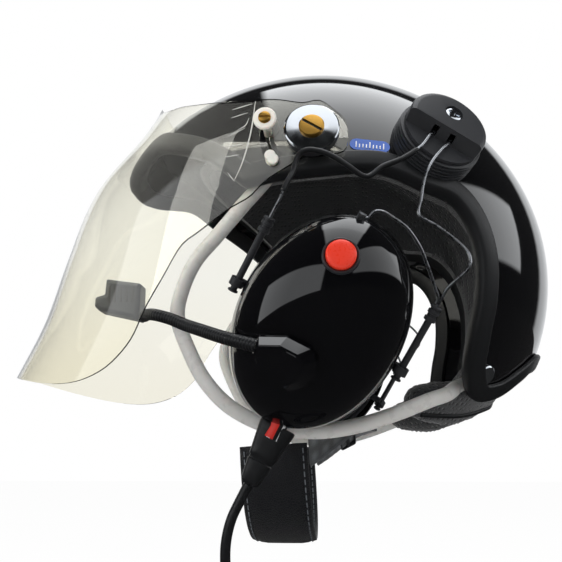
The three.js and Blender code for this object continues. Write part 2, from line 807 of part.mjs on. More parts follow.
// Cushion: a ring with a crown towards the head and sides that draw in
function makeCushion() {
  const sectionShares = [
    [-0.42, 0], [-0.5, 0.25], [-0.46, 0.62], [-0.3, 0.92], [-0.14, 1],
    [0.14, 1], [0.3, 0.92], [0.46, 0.62], [0.5, 0.25], [0.42, 0],
  ];
  const top = -gap - plateThickness - gap;
  const middleX = cupHalfWidth - cushionInset - cushionWidth / 2;
  const middleY = cupHalfLength - cushionInset - cushionWidth / 2;
  const rings = [];
  for (let i = 0; i < cupSides; i++) {
    const turn = (i / cupSides) * Math.PI * 2;
    const middle = new THREE.Vector3(middleX * Math.cos(turn), middleY * Math.sin(turn), top);
    const out = new THREE.Vector3(Math.cos(turn) / middleX, Math.sin(turn) / middleY, 0).normalize();
    rings.push(sectionShares.map(([w, h]) => {
      const point = middle.clone().addScaledVector(out, w * cushionWidth);
      point.z -= h * cushionHeight;
      return point;
    }));
  }
  return loft(rings, true);
}

// Sleeve along Y of the cup, with a collar at the top and a flange at the foot
function makeSleeve() {
  const collarLow = sleeveHigh - sleeveCollarHeight;
  const profile = [
    [sleeveBore, sleeveLow - sleeveFlangeHeight], [sleeveFlangeRadius, sleeveLow - sleeveFlangeHeight],
    [sleeveFlangeRadius, sleeveLow - gap], [sleeveRadius, sleeveLow - gap], [sleeveRadius, collarLow],
    [sleeveCollarRadius, collarLow], [sleeveCollarRadius, sleeveHigh],
    [sleeveBore, sleeveHigh], [sleeveBore, sleeveLow - sleeveFlangeHeight],
  ];
  return new THREE.LatheGeometry(profile.map(([r, h]) => new THREE.Vector2(r, h)), smallSides);
}

// Puck frame: Z out of the shell, Y against the drop of the wires, X the cross bore
const puckZ = new THREE.Vector3(...puckAxisShares).normalize();
const puckY = new THREE.Vector3(...puckDropShares);
puckY.addScaledVector(puckZ, -puckY.dot(puckZ)).normalize().negate();
const puckX = puckY.clone().cross(puckZ);
const puckCentre = inShell(puckShares);
const puckMatrix = new THREE.Matrix4().makeBasis(puckX, puckY, puckZ).setPosition(puckCentre);
const capLow = puckBaseHeight + gap;
const boreZ = capLow + boreHeight;

function fromPuck(x, y, z) {
  return new THREE.Vector3(x, y, z).applyMatrix4(puckMatrix);
}

function makePuckBase() {
  const profile = [[0, -puckBaseSink], [puckBaseRadius, -puckBaseSink]];
  const pitch = puckBaseHeight / (threadCount + 1);
  for (let i = 1; i <= threadCount; i++) {
    profile.push([puckBaseRadius, pitch * (i - 0.5)]);
    profile.push([puckBaseRadius - threadDepth, pitch * i]);
  }
  profile.push([puckBaseRadius, puckBaseHeight], [0, puckBaseHeight]);
  const base = solidOf(turned(profile, largeSides).applyMatrix4(puckMatrix));
  const overTrim = dome(-gap * 2 - trimThickness).intersect(opening(trimLap + gap));
  const inPuck = geometryOf(cut(base, dome(-gap), overTrim));
  return inPuck.applyMatrix4(puckMatrix.clone().invert());
}

// Cap with its sloping face, the wires' two slots, their cross bore and a screw recess
function makePuckCap() {
  const high = capLow + capHeight;
  const rim = capLow + capRimHeight;
  const body = solidOf(turned([
    [0, capLow], [capRadius, capLow], [capRadius, high - capChamfer], [capRadius - capChamfer, high], [0, high],
  ], largeSides));
  const face = block(-capRadius * 2, capRadius * 2, -capRadius * 2, 0, -capHeight * 3, capHeight * 3);
  face.rotateX(-Math.atan(capFaceSlope));
  face.translate(0, -capFaceOffset - capFaceSlope * (capHeight - capRimHeight), rim);
  const keep = block(-capRadius * 2, capRadius * 2, -capRadius * 2, capRadius * 2, rim, high + overrun);
  const slice = solidOf(face).intersect(solidOf(keep));
  const bore = new THREE.CylinderGeometry(wireRadius + gap, wireRadius + gap, boreHalfLength * 2, mediumSides);
  bore.rotateZ(Math.PI / 2);
  bore.translate(0, -boreSetback, boreZ);
  const slotHalf = wireRadius + gap + wireRadius / 2;
  const slots = [-1, 1].map((side) => solidOf(block(
    side * borePitch - slotHalf, side * borePitch + slotHalf, -capRadius, -boreSetback + wireRadius + gap,
    boreZ - wireRadius - gap, high - capChamfer,
  )));
  const recess = pin(capScrewRadius, high - capScrewDepth, high + overrun);
  recess.translate(0, capRadius * capScrewPlaceShare, 0);
  return geometryOf(cut(body, slice, solidOf(bore), ...slots, solidOf(recess)));
}

function makePuckScrew() {
  const low = capLow + capHeight - capScrewDepth + gap;
  const head = pin(capScrewRadius - gap, low, low + capScrewDepth - gap * 2);
  const arm = capScrewRadius * capCrossShare;
  const half = screwSlotWidth / 2;
  const depth = low + capScrewDepth / 2;
  const recess = [
    block(-arm, arm, -half, half, depth, low + overrun),
    block(-half, half, -arm, arm, depth, low + overrun),
  ];
  const screw = geometryOf(cut(solidOf(head), ...recess.map(solidOf)));
  screw.translate(0, capRadius * capScrewPlaceShare, 0);
  return screw;
}

// Wires: each starts in the cap's cross bore and ends inside its sleeve on the cup
function wireStart(side) {
  return [
    fromPuck(side * (boreHalfLength - gap), -boreSetback, boreZ),
    fromPuck(side * (borePitch + wireRadius * 2), -boreSetback, boreZ),
    fromPuck(side * (borePitch + wireRadius * wireCornerShare), -boreSetback - wireRadius * wireCornerShare, boreZ),
    fromPuck(side * borePitch, -boreSetback - wireRadius * wireBendShare, boreZ),
    fromPuck(side * borePitch, -capFaceOffset - capHeight / 2, boreZ + wireRadius),
  ];
}

function wireEnd(side) {
  const x = side * sleeveSpacing;
  return [
    fromCup(x, sleeveHigh + slideTravel, 0),
    fromCup(x, sleeveHigh + slideTravel / 2, 0),
    fromCup(x, sleeveHigh, 0),
    fromCup(x, (sleeveHigh + sleeveLow) / 2, 0),
    fromCup(x, sleeveLow + slideTravel, 0),
  ];
}

function makeFrontWire() {
  const route = smoothRoute([...wireStart(-1), ...frontWireShares.map(inShell), ...wireEnd(-1)]);
  const length = route.getLength();
  const sheathStart = (boreHalfLength + capRadius) / length;
  return bar(route, frontWireSteps, wireSides, (share) => (
    share > sheathStart && share < frontSheathEndShare ? sheathRadius : wireRadius
  ));
}

function makeRearWire() {
  const route = smoothRoute([...wireStart(1), ...rearWireShares.map(inShell), ...wireEnd(1)]);
  return bar(route, rearWireSteps, wireSides, () => wireRadius);
}

// Bail: a spring wire from the clip on the cup's rim to the rear sleeve's collar
function makeBail() {
  const [x, y] = [clipShares[0] * cupHalfWidth, clipShares[1] * cupHalfLength];
  const reach = sleeveHigh + gap + wireRadius;
  const end = [
    fromCup(sleeveSpacing - wireRadius * 2, reach + wireRadius * 3, wireRadius * wireBendShare),
    fromCup(sleeveSpacing - wireRadius * 2, reach, wireRadius * wireBendShare),
  ];
  const route = smoothRoute([fromCup(x, y, cupRimBand), ...bailShares.map(inShell), ...end]);
  const wire = solidOf(bar(route, bailSteps, wireSides, () => wireRadius));
  const clip = block(x - clipWidth / 2, x + clipWidth / 2, y - clipHeight, y + clipWidth / 2, 0, clipDepth);
  const cup = geometryOf(cupBulgeSolid(-gap, -overrun, false)).applyMatrix4(cupMatrix);
  return geometryOf(wire.add(solidOf(clip.applyMatrix4(cupMatrix))).subtract(solidOf(cup)));
}

// Pieces across Y at the visor's pivot, on the wearer's left
function leftPin(x, z, radius, innerY, outerY, sides = mediumSides) {
  const geometry = new THREE.CylinderGeometry(radius, radius, outerY - innerY, sides);
  geometry.translate(x, -(innerY + outerY) / 2, z);
  return geometry;
}

const discY = visorOuterY + discStandOff;
const discTurn = new THREE.Quaternion().setFromAxisAngle(new THREE.Vector3(1, 0, 0), -THREE.MathUtils.degToRad(discTilt));
const discPlace = new THREE.Vector3(pivotX, -discY, pivotZ);

function tiltedPin(radius, low, high, sides = mediumSides) {
  const geometry = new THREE.CylinderGeometry(radius, radius, high - low, sides);
  geometry.translate(0, -(low + high) / 2, 0);
  return placed(geometry, discPlace, discTurn);
}

function makePivotBoss() {
  const boss = solidOf(leftPin(pivotX, pivotZ, bossRadius, shellHalfWidth * bossFootShare, visorInnerY - bossClearance));
  return geometryOf(cut(boss, dome(-gap), crossPin(pivotX, pivotZ, pivotShankRadius + gap)));
}

function makePivotWasher() {
  const washer = solidOf(leftPin(pivotX, pivotZ, washerRadius, visorOuterY + gap, discY + discRadius));
  const beyond = solidOf(tiltedPin(discRadius * 2, -gap, discRadius * 3));
  return geometryOf(cut(washer, beyond, crossPin(pivotX, pivotZ, pivotShankRadius + gap)));
}

function makePivotDisc() {
  const edge = discThickness / 4;
  const profile = [
    [0, 0], [discRadius, 0], [discRadius, discThickness - edge], [discRadius - edge * 2, discThickness], [0, discThickness],
  ].map(([r, h]) => new THREE.Vector2(r, -h));
  const disc = solidOf(facingOutOf(placed(new THREE.LatheGeometry(profile, largeSides), discPlace, discTurn)));
  return geometryOf(disc.subtract(crossPin(pivotX, pivotZ, pivotShankRadius + gap)));
}

// A turned profile may run either way, so its winding is settled by its volume
function facingOutOf(geometry) {
  const bare = geometry.clone();
  bare.deleteAttribute('normal');
  bare.deleteAttribute('uv');
  const merged = mergeVertices(bare);
  const positions = merged.attributes.position;
  const points = Array.from({ length: positions.count }, (_, i) => new THREE.Vector3().fromBufferAttribute(positions, i));
  return facingOut(points, Array.from(merged.index.array));
}

function makePivotScrew() {
  const headLow = discThickness + gap;
  const headHigh = headLow + pivotScrewHeadHeight;
  const head = solidOf(tiltedPin(pivotScrewHeadRadius, headLow, headHigh));
  const shankFoot = shellHalfWidth * pivotShankFootShare;
  const shank = solidOf(leftPin(pivotX, pivotZ, pivotShankRadius, shankFoot, discY + headLow + gap * 2, smallSides));
  const half = screwSlotWidth / 2;
  const slot = block(
    -pivotScrewHeadRadius * 2, pivotScrewHeadRadius * 2, -headHigh - overrun,
    -(headLow + headHigh) / 2, -half, half,
  );
  slot.rotateY(THREE.MathUtils.degToRad(pivotScrewTurn));
  return geometryOf(head.add(shank).subtract(solidOf(placed(slot, discPlace, discTurn))));
}

// Where the sheet lies under the knob and the stop, which are off the pivot
function sheetY(x) {
  const reach = valueAt(visorReachShares, pivotHeightShare) * shellHalfLength;
  return visorOuterY * Math.sqrt(1 - (x / reach) ** 2);
}

const knobCollarLow = sheetY(knobX) + gap * 2;
const knobFlangeLow = knobCollarLow + knobCollarHeight;
const knobTop = knobFlangeLow + knobFlangeHeight;

function makeKnob() {
  const shankFoot = shellHalfWidth * knobShankFootShare;
  const shank = solidOf(leftPin(knobX, knobZ, knobShankRadius, shankFoot, knobCollarLow + gap, smallSides));
  const collar = solidOf(leftPin(knobX, knobZ, knobCollarRadius, knobCollarLow, knobFlangeLow + gap));
  const flange = solidOf(leftPin(knobX, knobZ, knobFlangeRadius, knobFlangeLow, knobTop));
  const head = solidOf(leftPin(knobX, knobZ, knobScrewRadius, knobTop - gap, knobTop + knobScrewHeight));
  const half = screwSlotWidth / 3;
  const slot = block(
    knobX - knobScrewRadius * 2, knobX + knobScrewRadius * 2, -knobTop - overrun, -knobTop - knobScrewHeight / 2,
    knobZ - half, knobZ + half,
  );
  return geometryOf(shank.add(collar).add(flange).add(head).subtract(solidOf(slot)));
}

// Two-lobed stop clip in the low end of the slot
function makeSlotStop() {
  const x = pivotX + slotRadius * Math.cos(stopAngle);
  const z = pivotZ + slotRadius * Math.sin(stopAngle);
  const seat = sheetY(x);
  const low = seat - visorSheet - gap - stopInnerHeight;
  const high = seat + gap + stopHeight;
  const lobes = [-1, 1].map((side) => {
    const angle = stopAngle + (side * stopRadius * stopSpreadShare) / slotRadius;
    const lobeX = pivotX + slotRadius * Math.cos(angle);
    const lobeZ = pivotZ + slotRadius * Math.sin(angle);
    return solidOf(leftPin(lobeX, lobeZ, stopRadius * stopLobeShare, seat - visorSheet / 2, high, mediumSides));
  });
  const foot = solidOf(leftPin(x, z, slotWidth / 2 + stopInnerHeight, low, seat - visorSheet / 2, mediumSides));
  const sheet = visorBody(-gap).subtract(visorBody(visorSheet + gap));
  const neck = leftPin(x, z, slotWidth / 2 - gap, low + gap, high - gap, mediumSides);
  return geometryOf(largest(lobes[0].add(lobes[1]).add(foot).subtract(sheet).add(solidOf(neck))));
}

// Strap rivet: a round head outside, its shank through the shell to the hoop's end
const rivetPlace = inShell(rivetShares);
const rivetWay = new THREE.Vector3(
  rivetShares[0] / shellHalfLength, rivetShares[1] / shellHalfWidth, rivetShares[2] / shellHalfHeight,
).normalize();
const rivetTurn = new THREE.Quaternion().setFromUnitVectors(zWay, rivetWay);
const rivetSeat = rivetPlace.clone().setLength(rivetPlace.length() / Math.hypot(...rivetShares));

function rivetPin(radius, low, high, sides = smallSides) {
  return placed(pin(radius, low, high, sides), rivetSeat, rivetTurn);
}

function makeRivet() {
  const low = gap * 2;
  const head = turned([
    [0, low],
    ...rivetProfileShares.map(([r, h]) => [rivetHeadRadius * r, low + rivetHeadHeight * h]),
    [0, low + rivetHeadHeight],
  ], mediumSides);
  const shank = rivetPin(rivetShankRadius, -shellWall - overrun / 2, low + gap);
  const whole = solidOf(placed(head, rivetSeat, rivetTurn)).add(solidOf(shank));
  return geometryOf(whole.subtract(solidOf(hoopGeometry(gap))));
}

// Talk button and the bezel that it travels in
function makeBezel() {
  const well = bezelStandOff - bezelDepth + bezelFloor;
  const round = gap * 2;
  return turned([
    [0, bezelStandOff - bezelDepth], [bezelRadius, bezelStandOff - bezelDepth], [bezelRadius, bezelStandOff - round],
    [bezelRadius - round, bezelStandOff], [buttonRadius + gap, bezelStandOff - round], [buttonRadius + gap, well], [0, well],
  ], mediumSides);
}

function makeButton() {
  const low = bezelStandOff - bezelDepth + bezelFloor + buttonTravel + gap;
  const high = bezelStandOff + buttonRise;
  return turned([
    [0, low], [buttonRadius, low], [buttonRadius, high - buttonFoot], [buttonRadius * 0.85, high - buttonFoot * 0.3],
    [buttonRadius * 0.5, high], [0, high],
  ], mediumSides);
}

// Boom housing: a faceted drop-shaped box that turns on its seat
function makeBoomHousing() {
  const outline = housingOutlineShares.map(([x, y]) => new THREE.Vector2(x * housingLength, y * housingLength));
  const shape = new THREE.Shape(outline);
  const low = boomSeatHeight + gap;
  const geometry = new THREE.ExtrudeGeometry(shape, {
    depth: housingHeight - housingBevel * 2, bevelThickness: housingBevel, bevelSize: housingBevel,
    bevelOffset: -housingBevel, bevelSegments: 1,
  });
  geometry.translate(0, 0, low + housingBevel);
  return geometry;
}

function fromHousing(x, y, z) {
  return new THREE.Vector3(x, y, z).applyQuaternion(boomTurn).add(boomPlace).applyMatrix4(cupMatrix);
}

function makeBoomArm() {
  const middle = boomSeatHeight + gap + housingHeight / 2;
  const narrowEnd = housingOutlineShares[1][0] * housingLength;
  const offset = ((housingOutlineShares[0][1] + housingOutlineShares[1][1]) / 2) * housingLength;
  const start = [gap * 2, boomRadius, boomRadius * 2].map((reach) => fromHousing(narrowEnd - reach, offset, middle));
  const route = smoothRoute([...start, ...boomShares.map(inShell)]);
  return bar(route, boomRibs * 2, smallSides, (share, i) => boomRadius - (i % 2) * boomRib);
}

function makeMicHead() {
  const outline = micOutlineShares.map(([x, z]) => new THREE.Vector2(x * micSize, z * micSize)).reverse();
  const geometry = new THREE.ExtrudeGeometry(new THREE.Shape(outline), {
    depth: (micHalfWidth - micBevel) * 2, bevelThickness: micBevel, bevelSize: micBevel, bevelOffset: -micBevel, bevelSegments: 2,
  });
  geometry.rotateX(Math.PI / 2);
  geometry.translate(0, micHalfWidth - micBevel, 0);
  return geometry;
}

// Lead: banded ring out of the cup, tapered boot, cord, coil and plug
const bootWay = new THREE.Vector3(...bootDirectionShares).normalize();
const bootAcross = new THREE.Vector3(0, 1, 0).cross(bootWay).normalize().negate();
const bootOut = bootWay.clone().cross(bootAcross);
const bootPlace = inShell(bootShares);
const bootTurn = rotationOf(bootAcross, bootOut, bootWay);

function makeLeadRing() {
  const profile = [[0, -ringLength]];
  const bands = 3;
  for (let i = 0; i < bands; i++) {
    const low = -ringLength + (i * ringLength) / bands;
    profile.push([ringRadius, low], [ringRadius, low + ringBandWidth]);
    if (i < bands - 1) {
      profile.push([ringRadius - ringBandDepth, low + ringBandWidth], [ringRadius - ringBandDepth, low + ringLength / bands]);
    }
  }
  profile.push([0, -ringLength + ((bands - 1) * ringLength) / bands + ringBandWidth]);
  const ring = solidOf(placed(turned(profile, mediumSides), bootPlace, bootTurn));
  const cup = geometryOf(cupBulgeSolid(-gap, -overrun, false)).applyMatrix4(cupMatrix);
  return geometryOf(largest(ring.subtract(solidOf(cup))));
}

function makeBoot() {
  const rings = [];
  const square = (value) => Math.sign(value) * Math.abs(value) ** 0.5;
  for (let i = 0; i <= bootSteps; i++) {
    const share = i / bootSteps;
    const halfWidth = THREE.MathUtils.lerp(bootStartWidth, bootEndWidth, share) / 2;
    const halfDepth = THREE.MathUtils.lerp(bootStartDepth, bootEndWidth, share) / 2;
    const ring = [];
    for (let j = 0; j < bootSides; j++) {
      const turn = ((j + 0.5) / bootSides) * Math.PI * 2;
      ring.push(new THREE.Vector3(
        halfWidth * square(Math.cos(turn)), halfDepth * square(Math.sin(turn)), gap + share * bootLength,
      ));
    }
    rings.push(ring);
  }
  const boot = solidOf(placed(loft(rings), bootPlace, bootTurn));
  const cup = geometryOf(cupBulgeSolid(-gap, -overrun, false)).applyMatrix4(cupMatrix);
  return geometryOf(largest(cut(boot, solidOf(cup), solidOf(hoopGeometry(gap)))));
}

function makeCord() {
  return bar(smoothRoute(vectors(cordRoute)), cordSteps, cordSides, () => cordRadius);
}

// Coil: in on the top layer, half a turn down, and out again on the bottom layer
function coilPoints() {
  const centre = new THREE.Vector3(...coilCentre);
  const spread = coilTurns * coilPitch;
  const points = [];
  const turns = coilTurns * 2 + 0.5;
  const steps = Math.round(turns * coilStepsPerTurn);
  for (let i = 0; i <= steps; i++) {
    const turn = (i / steps) * turns;
    let radius = coilMeanRadius - spread / 2;
    let height = coilPitch;
    if (turn < coilTurns) {
      radius = coilMeanRadius + spread / 2 - turn * coilPitch;
    } else if (turn < coilTurns + 0.5) {
      const share = (turn - coilTurns) * 2;
      radius -= coilDip * Math.sin(Math.PI * share);
      height = coilPitch * (1 - share);
    } else {
      radius += (turn - coilTurns - 0.5) * coilPitch;
      height = 0;
    }
    const angle = turn * Math.PI * 2 - Math.PI / 2;
    points.push(new THREE.Vector3(Math.cos(angle) * radius, Math.sin(angle) * radius, height).add(centre));
  }
  return points;
}

const coilEnd = coilPoints().at(-1);
const coilEndWay = coilEnd.clone().sub(coilPoints().at(-2)).setZ(0).normalize();
const plugStart = coilEnd.clone().addScaledVector(coilEndWay, plugRadius * 3 + gap);
plugStart.z = coilCentre[2] - cordRadius + plugRadius;

function makeCoil() {
  const points = coilPoints();
  const rise = plugStart.z - coilEnd.z;
  const tail = tailShares.map((share) => {
    const point = coilEnd.clone().addScaledVector(coilEndWay, plugRadius * 3 * share);
    point.z += rise * THREE.MathUtils.smoothstep(share, 0, tailShares[1]);
    return point;
  });
  const route = new THREE.CatmullRomCurve3([...points, ...tail]);
  const steps = points.length + 4;
  console.log('cord least gap to itself', leastGap(route, steps * 2).toFixed(2));
  console.log('cord length', (route.getLength() + smoothRoute(vectors(cordRoute)).getLength()).toFixed(1));
  return bar(route, steps, coilSides, () => cordRadius);
}

// The least clear space between two stretches of the coil that are not neighbours
function leastGap(route, steps) {
  const points = route.getSpacedPoints(steps);
  const stretch = route.getLength() / steps;
  const apart = Math.ceil((cordRadius * 6) / stretch);
  let least = Infinity;
  for (let i = 0; i < points.length; i++) {
    for (let j = i + apart; j < points.length; j++) {
      least = Math.min(least, points[i].distanceTo(points[j]) - cordRadius * 2);
    }
  }
  return least;
}

function makePlug() {
  const grip = plugLength * plugGripShare;
  const barrel = plugRadius * plugBarrelShare;
  return turned([
    [0, 0], [cordRadius * plugNeckShare, 0], [plugRadius, plugLength * plugShoulderShare], [plugRadius, grip],
    [barrel, grip], [barrel, plugLength], [plugTipRadius, plugLength],
    [plugTipRadius, plugLength + plugTipLength * plugBarrelShare],
    [plugTipRadius * plugPointShare, plugLength + plugTipLength], [0, plugLength + plugTipLength],
  ], mediumSides);
}

// Chin strap
function strapRoute() {
  return smoothRoute(strapShares.map(inShell));
}

function strapWayAt(share) {
  const ways = smoothRoute(vectors(strapWidthWay));
  return ways.getPoint(share);
}

function makeStrap() {
  return band(strapRoute(), strapSteps, strapWidth, strapThickness, strapWayAt);
}

function padSide(sign) {
  return padSideShares.map(([y, z]) => new THREE.Vector3(
    (padPlaceShare - padSlantShare * (z - padSideShares[0][1])) * shellHalfLength, sign * y * shellHalfWidth, z * shellHalfHeight,
  ));
}

function makeStrapPad() {
  const route = smoothRoute([...padSide(-1), ...padSide(1).slice(0, -1).reverse()]);
  const lengthways = new THREE.Vector3(1, 0, 0);
  return band(route, padSteps, padWidth, padThickness, () => lengthways);
}

// Slider buckle round the right strap
function makeBuckle() {
  const place = strapRoute().getPointAt(bucklePlaceShare);
  const along = strapRoute().getTangentAt(bucklePlaceShare);
  const wide = strapWayAt(bucklePlaceShare);
  wide.addScaledVector(along, -wide.dot(along)).normalize();
  const turn = rotationOf(wide, along.clone().cross(wide), along.clone());
  const half = strapWidth / 2 + buckleRail;
  const thick = strapThickness / 2 + buckleRail / 2;
  const frame = block(-half, half, -thick, thick, -buckleLength / 2, buckleLength / 2);
  const webbing = band(strapRoute(), strapSteps, strapWidth + gap * 2, strapThickness + gap * 2, strapWayAt);
  return geometryOf(solidOf(placed(frame, place, turn)).subtract(solidOf(webbing)));
}

// Finishes
function finish(color, roughness, metalness = 0, extra = {}) {
  return new THREE.MeshStandardMaterial({ color, roughness, metalness, ...extra });
}

const glossBlack = () => finish('#141416', 0.12);
const satinBlack = () => finish('#242527', 0.45);
const rubberBlack = () => finish('#1d1e20', 0.75);
const foamGrey = () => finish('#e4e5e6', 0.95);
const liningCloth = () => finish('#2c2d31', 0.95);
const leatherBlack = () => finish('#202124', 0.6);
const clearSheet = () => finish('#e8ecea', 0.05, 0, { transparent: true, opacity: 0.35 });
const polishedSteel = () => finish('#c9ccd0', 0.12, 1);
const yellowBrass = () => finish('#b8923c', 0.3, 1);
const whiteNylon = () => finish('#ece9e2', 0.4);
const greyTube = () => finish('#c9c4c2', 0.35);
const redPlastic = () => finish('#d8382a', 0.35);
const webbingGrey = () => finish('#5d6063', 0.85);

function sealed(geometry) {
  return geometryOf(solidOf(geometry));
}

function piece(name, geometry, material, parent, position, rotation) {
  const mesh = new THREE.Mesh(geometry, material);
  mesh.name = name;
  if (position) {
    mesh.position.copy(position);
  }
  if (rotation) {
    mesh.quaternion.copy(rotation);
  }
  parent.add(mesh);
  return mesh;
}

// The mirror image of a group of pieces, named for the right side
function mirrorOf(object) {
  const copy = object.isMesh ? new THREE.Mesh(mirrored(object.geometry), object.material.clone()) : new THREE.Group();
  copy.name = object.name.replace('left_', 'right_');
  copy.position.set(object.position.x, -object.position.y, object.position.z);
  copy.quaternion.set(-object.quaternion.x, object.quaternion.y, -object.quaternion.z, object.quaternion.w);
  for (const child of object.children) {
    copy.add(mirrorOf(child));
  }
  return copy;
}

function makeHeadShell(helmet) {
  const hoops = onBothSides(hoopGeometry(gap));
  const screwPockets = crossPin(pivotX, pivotZ, pivotShankRadius + gap).add(crossPin(knobX, knobZ, knobShankRadius + gap));
  const rivetHoles = onBothSides(rivetPin(rivetShankRadius + gap, -overrun * 3, overrun));
  const linerPockets = onBothSides(rivetPin(rivetHeadRadius, -shellWall - overrun * 2, -shellWall));
  const roll = neckRollGeometry(0);
  const rollPocket = solidOf(neckRollGeometry(gap));

  const shell = cut(dome(0).subtract(dome(shellWall)), opening(0), screwPockets, rivetHoles);
  piece('shell', geometryOf(shell), glossBlack(), helmet);

  const linerBody = dome(linerInset).subtract(dome(linerInset + linerThickness, innerColumns, innerRows));
  const pocketEnd = solidOf(block(
    -shellHalfLength, shellHalfLength, -shellHalfWidth * bossFootShare, shellHalfWidth * bossFootShare,
    -shellHalfHeight, shellHalfHeight,
  ));
  const liner = cut(linerBody, opening(linerSetback), hoops, screwPockets.subtract(pocketEnd), rollPocket, linerPockets);
  piece('eps_liner', geometryOf(liner), foamGrey(), helmet);

  const liningBody = dome(liningInset, innerColumns, innerRows).subtract(dome(headInset, innerColumns, innerRows));
  const lining = cut(liningBody, opening(liningSetback), hoops, rollPocket);
  piece('comfort_lining', geometryOf(lining), liningCloth(), helmet);

  const trimBody = dome(-gap - trimThickness).subtract(dome(shellWall + gap + trimThickness));
  const slot = dome(-gap).subtract(dome(shellWall + gap)).subtract(opening(-gap));
  const rivetNotches = onBothSides(rivetPin(rivetHeadRadius + gap * 2, -overrun * 2, overrun, mediumSides));
  const trim = cut(trimBody.intersect(opening(trimLap)), opening(-trimLip), slot, rivetNotches, hoops);
  piece('edge_trim', geometryOf(trim), rubberBlack(), helmet);

  const rollSpace = dome(shellWall + gap * 3 + trimThickness);
  piece('neck_roll', geometryOf(solidOf(roll).intersect(rollSpace).subtract(hoops)), liningCloth(), helmet);

  piece('visor', geometryOf(makeVisor()), clearSheet(), helmet);
}

function makeSideFittings(side) {
  piece('left_pivot_boss', makePivotBoss(), rubberBlack(), side);
  piece('left_pivot_washer', makePivotWasher(), rubberBlack(), side);
  piece('left_pivot_disc', makePivotDisc(), polishedSteel(), side);
  piece('left_visor_knob', makeKnob(), whiteNylon(), side);
  piece('left_slot_stop', makeSlotStop(), whiteNylon(), side);
  piece('left_pivot_screw', makePivotScrew(), yellowBrass(), side);
  piece('left_hoop', hoopGeometry(0), greyTube(), side);
  piece('left_strap_rivet', makeRivet(), polishedSteel(), side);
}

function makeSuspension(side) {
  const puckTurn = rotationOf(puckX, puckY, puckZ);
  piece('left_puck_base', makePuckBase(), satinBlack(), side, puckCentre, puckTurn);
  piece('left_puck_cap', makePuckCap(), satinBlack(), side, puckCentre, puckTurn);
  piece('left_puck_screw', makePuckScrew(), polishedSteel(), side, puckCentre, puckTurn);
  piece('left_front_wire', makeFrontWire(), polishedSteel(), side);
  piece('left_rear_wire', makeRearWire(), polishedSteel(), side);
  piece('left_bail', makeBail(), polishedSteel(), side);
}

function makeEarCup(side) {
  const cup = new THREE.Group();
  cup.position.copy(cupCentre);
  cup.quaternion.copy(rotationOf(cupX, cupY, cupZ));
  side.add(cup);
  piece('left_cup_plate', makeCupPlate(), satinBlack(), cup);
  piece('left_ear_cushion', sealed(makeCushion()), leatherBlack(), cup);
  piece('left_speaker', makeSpeaker(), satinBlack(), cup);
  piece('left_front_sleeve', makeSleeve(), satinBlack(), cup, new THREE.Vector3(-sleeveSpacing, 0, 0));
  piece('left_rear_sleeve', makeSleeve(), satinBlack(), cup, new THREE.Vector3(sleeveSpacing, 0, 0));
  return cup;
}

function makeControls(cup, helmet) {
  piece('left_cup_shell', makeCupShell(true), glossBlack(), cup);
  piece('button_bezel', makeBezel(), satinBlack(), cup, buttonPlace, buttonTurn);
  piece('talk_button', makeButton(), redPlastic(), cup, buttonPlace, buttonTurn);
  piece('boom_housing', makeBoomHousing(), glossBlack(), cup, boomPlace, boomTurn);
  piece('boom_arm', makeBoomArm(), rubberBlack(), helmet);
  piece('mic_head', makeMicHead(), rubberBlack(), helmet, inShell(micPlaceShares));
}

function makeLead(helmet) {
  piece('lead_ring', makeLeadRing(), polishedSteel(), helmet);
  piece('lead_boot', makeBoot(), rubberBlack(), helmet);
  piece('cord', makeCord(), rubberBlack(), helmet);
  piece('cord_coil', makeCoil(), rubberBlack(), helmet);
  const plugTurn = new THREE.Quaternion().setFromUnitVectors(zWay, coilEndWay);
  piece('plug', makePlug(), rubberBlack(), helmet, plugStart, plugTurn);
}

function makeChinStrap(helmet) {
  const left = makeStrap();
  piece('left_strap', left, webbingGrey(), helmet);
  piece('right_strap', mirrored(left), webbingGrey(), helmet);
  piece('strap_pad', makeStrapPad(), leatherBlack(), helmet);
  piece('strap_buckle', mirrored(makeBuckle()), satinBlack(), helmet);
}

function makeHelmet() {
  const helmet = new THREE.Group();
  helmet.position.set(0, 0, -crownHeight);
  makeHeadShell(helmet);
  const left = new THREE.Group();
  helmet.add(left);
  makeSideFittings(left);
  makeSuspension(left);
  const cup = makeEarCup(left);
  const right = mirrorOf(left);
  helmet.add(right);
  const rightCup = right.children.find((child) => child.isGroup);
  piece('right_cup_shell', mirrored(makeCupShell(false)), glossBlack(), rightCup);
  makeControls(cup, helmet);
  makeChinStrap(helmet);
  makeLead(helmet);
  return helmet;
}

const object = new THREE.Group();
object.add(makeHelmet());

export default object;
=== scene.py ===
"""Looks of the paramotor helmet, built round the packed model."""
import json
import math

import bmesh
import bpy
import numpy as np
from bpy.props import FloatProperty, FloatVectorProperty, IntProperty, PointerProperty
from mathutils import Matrix, Vector


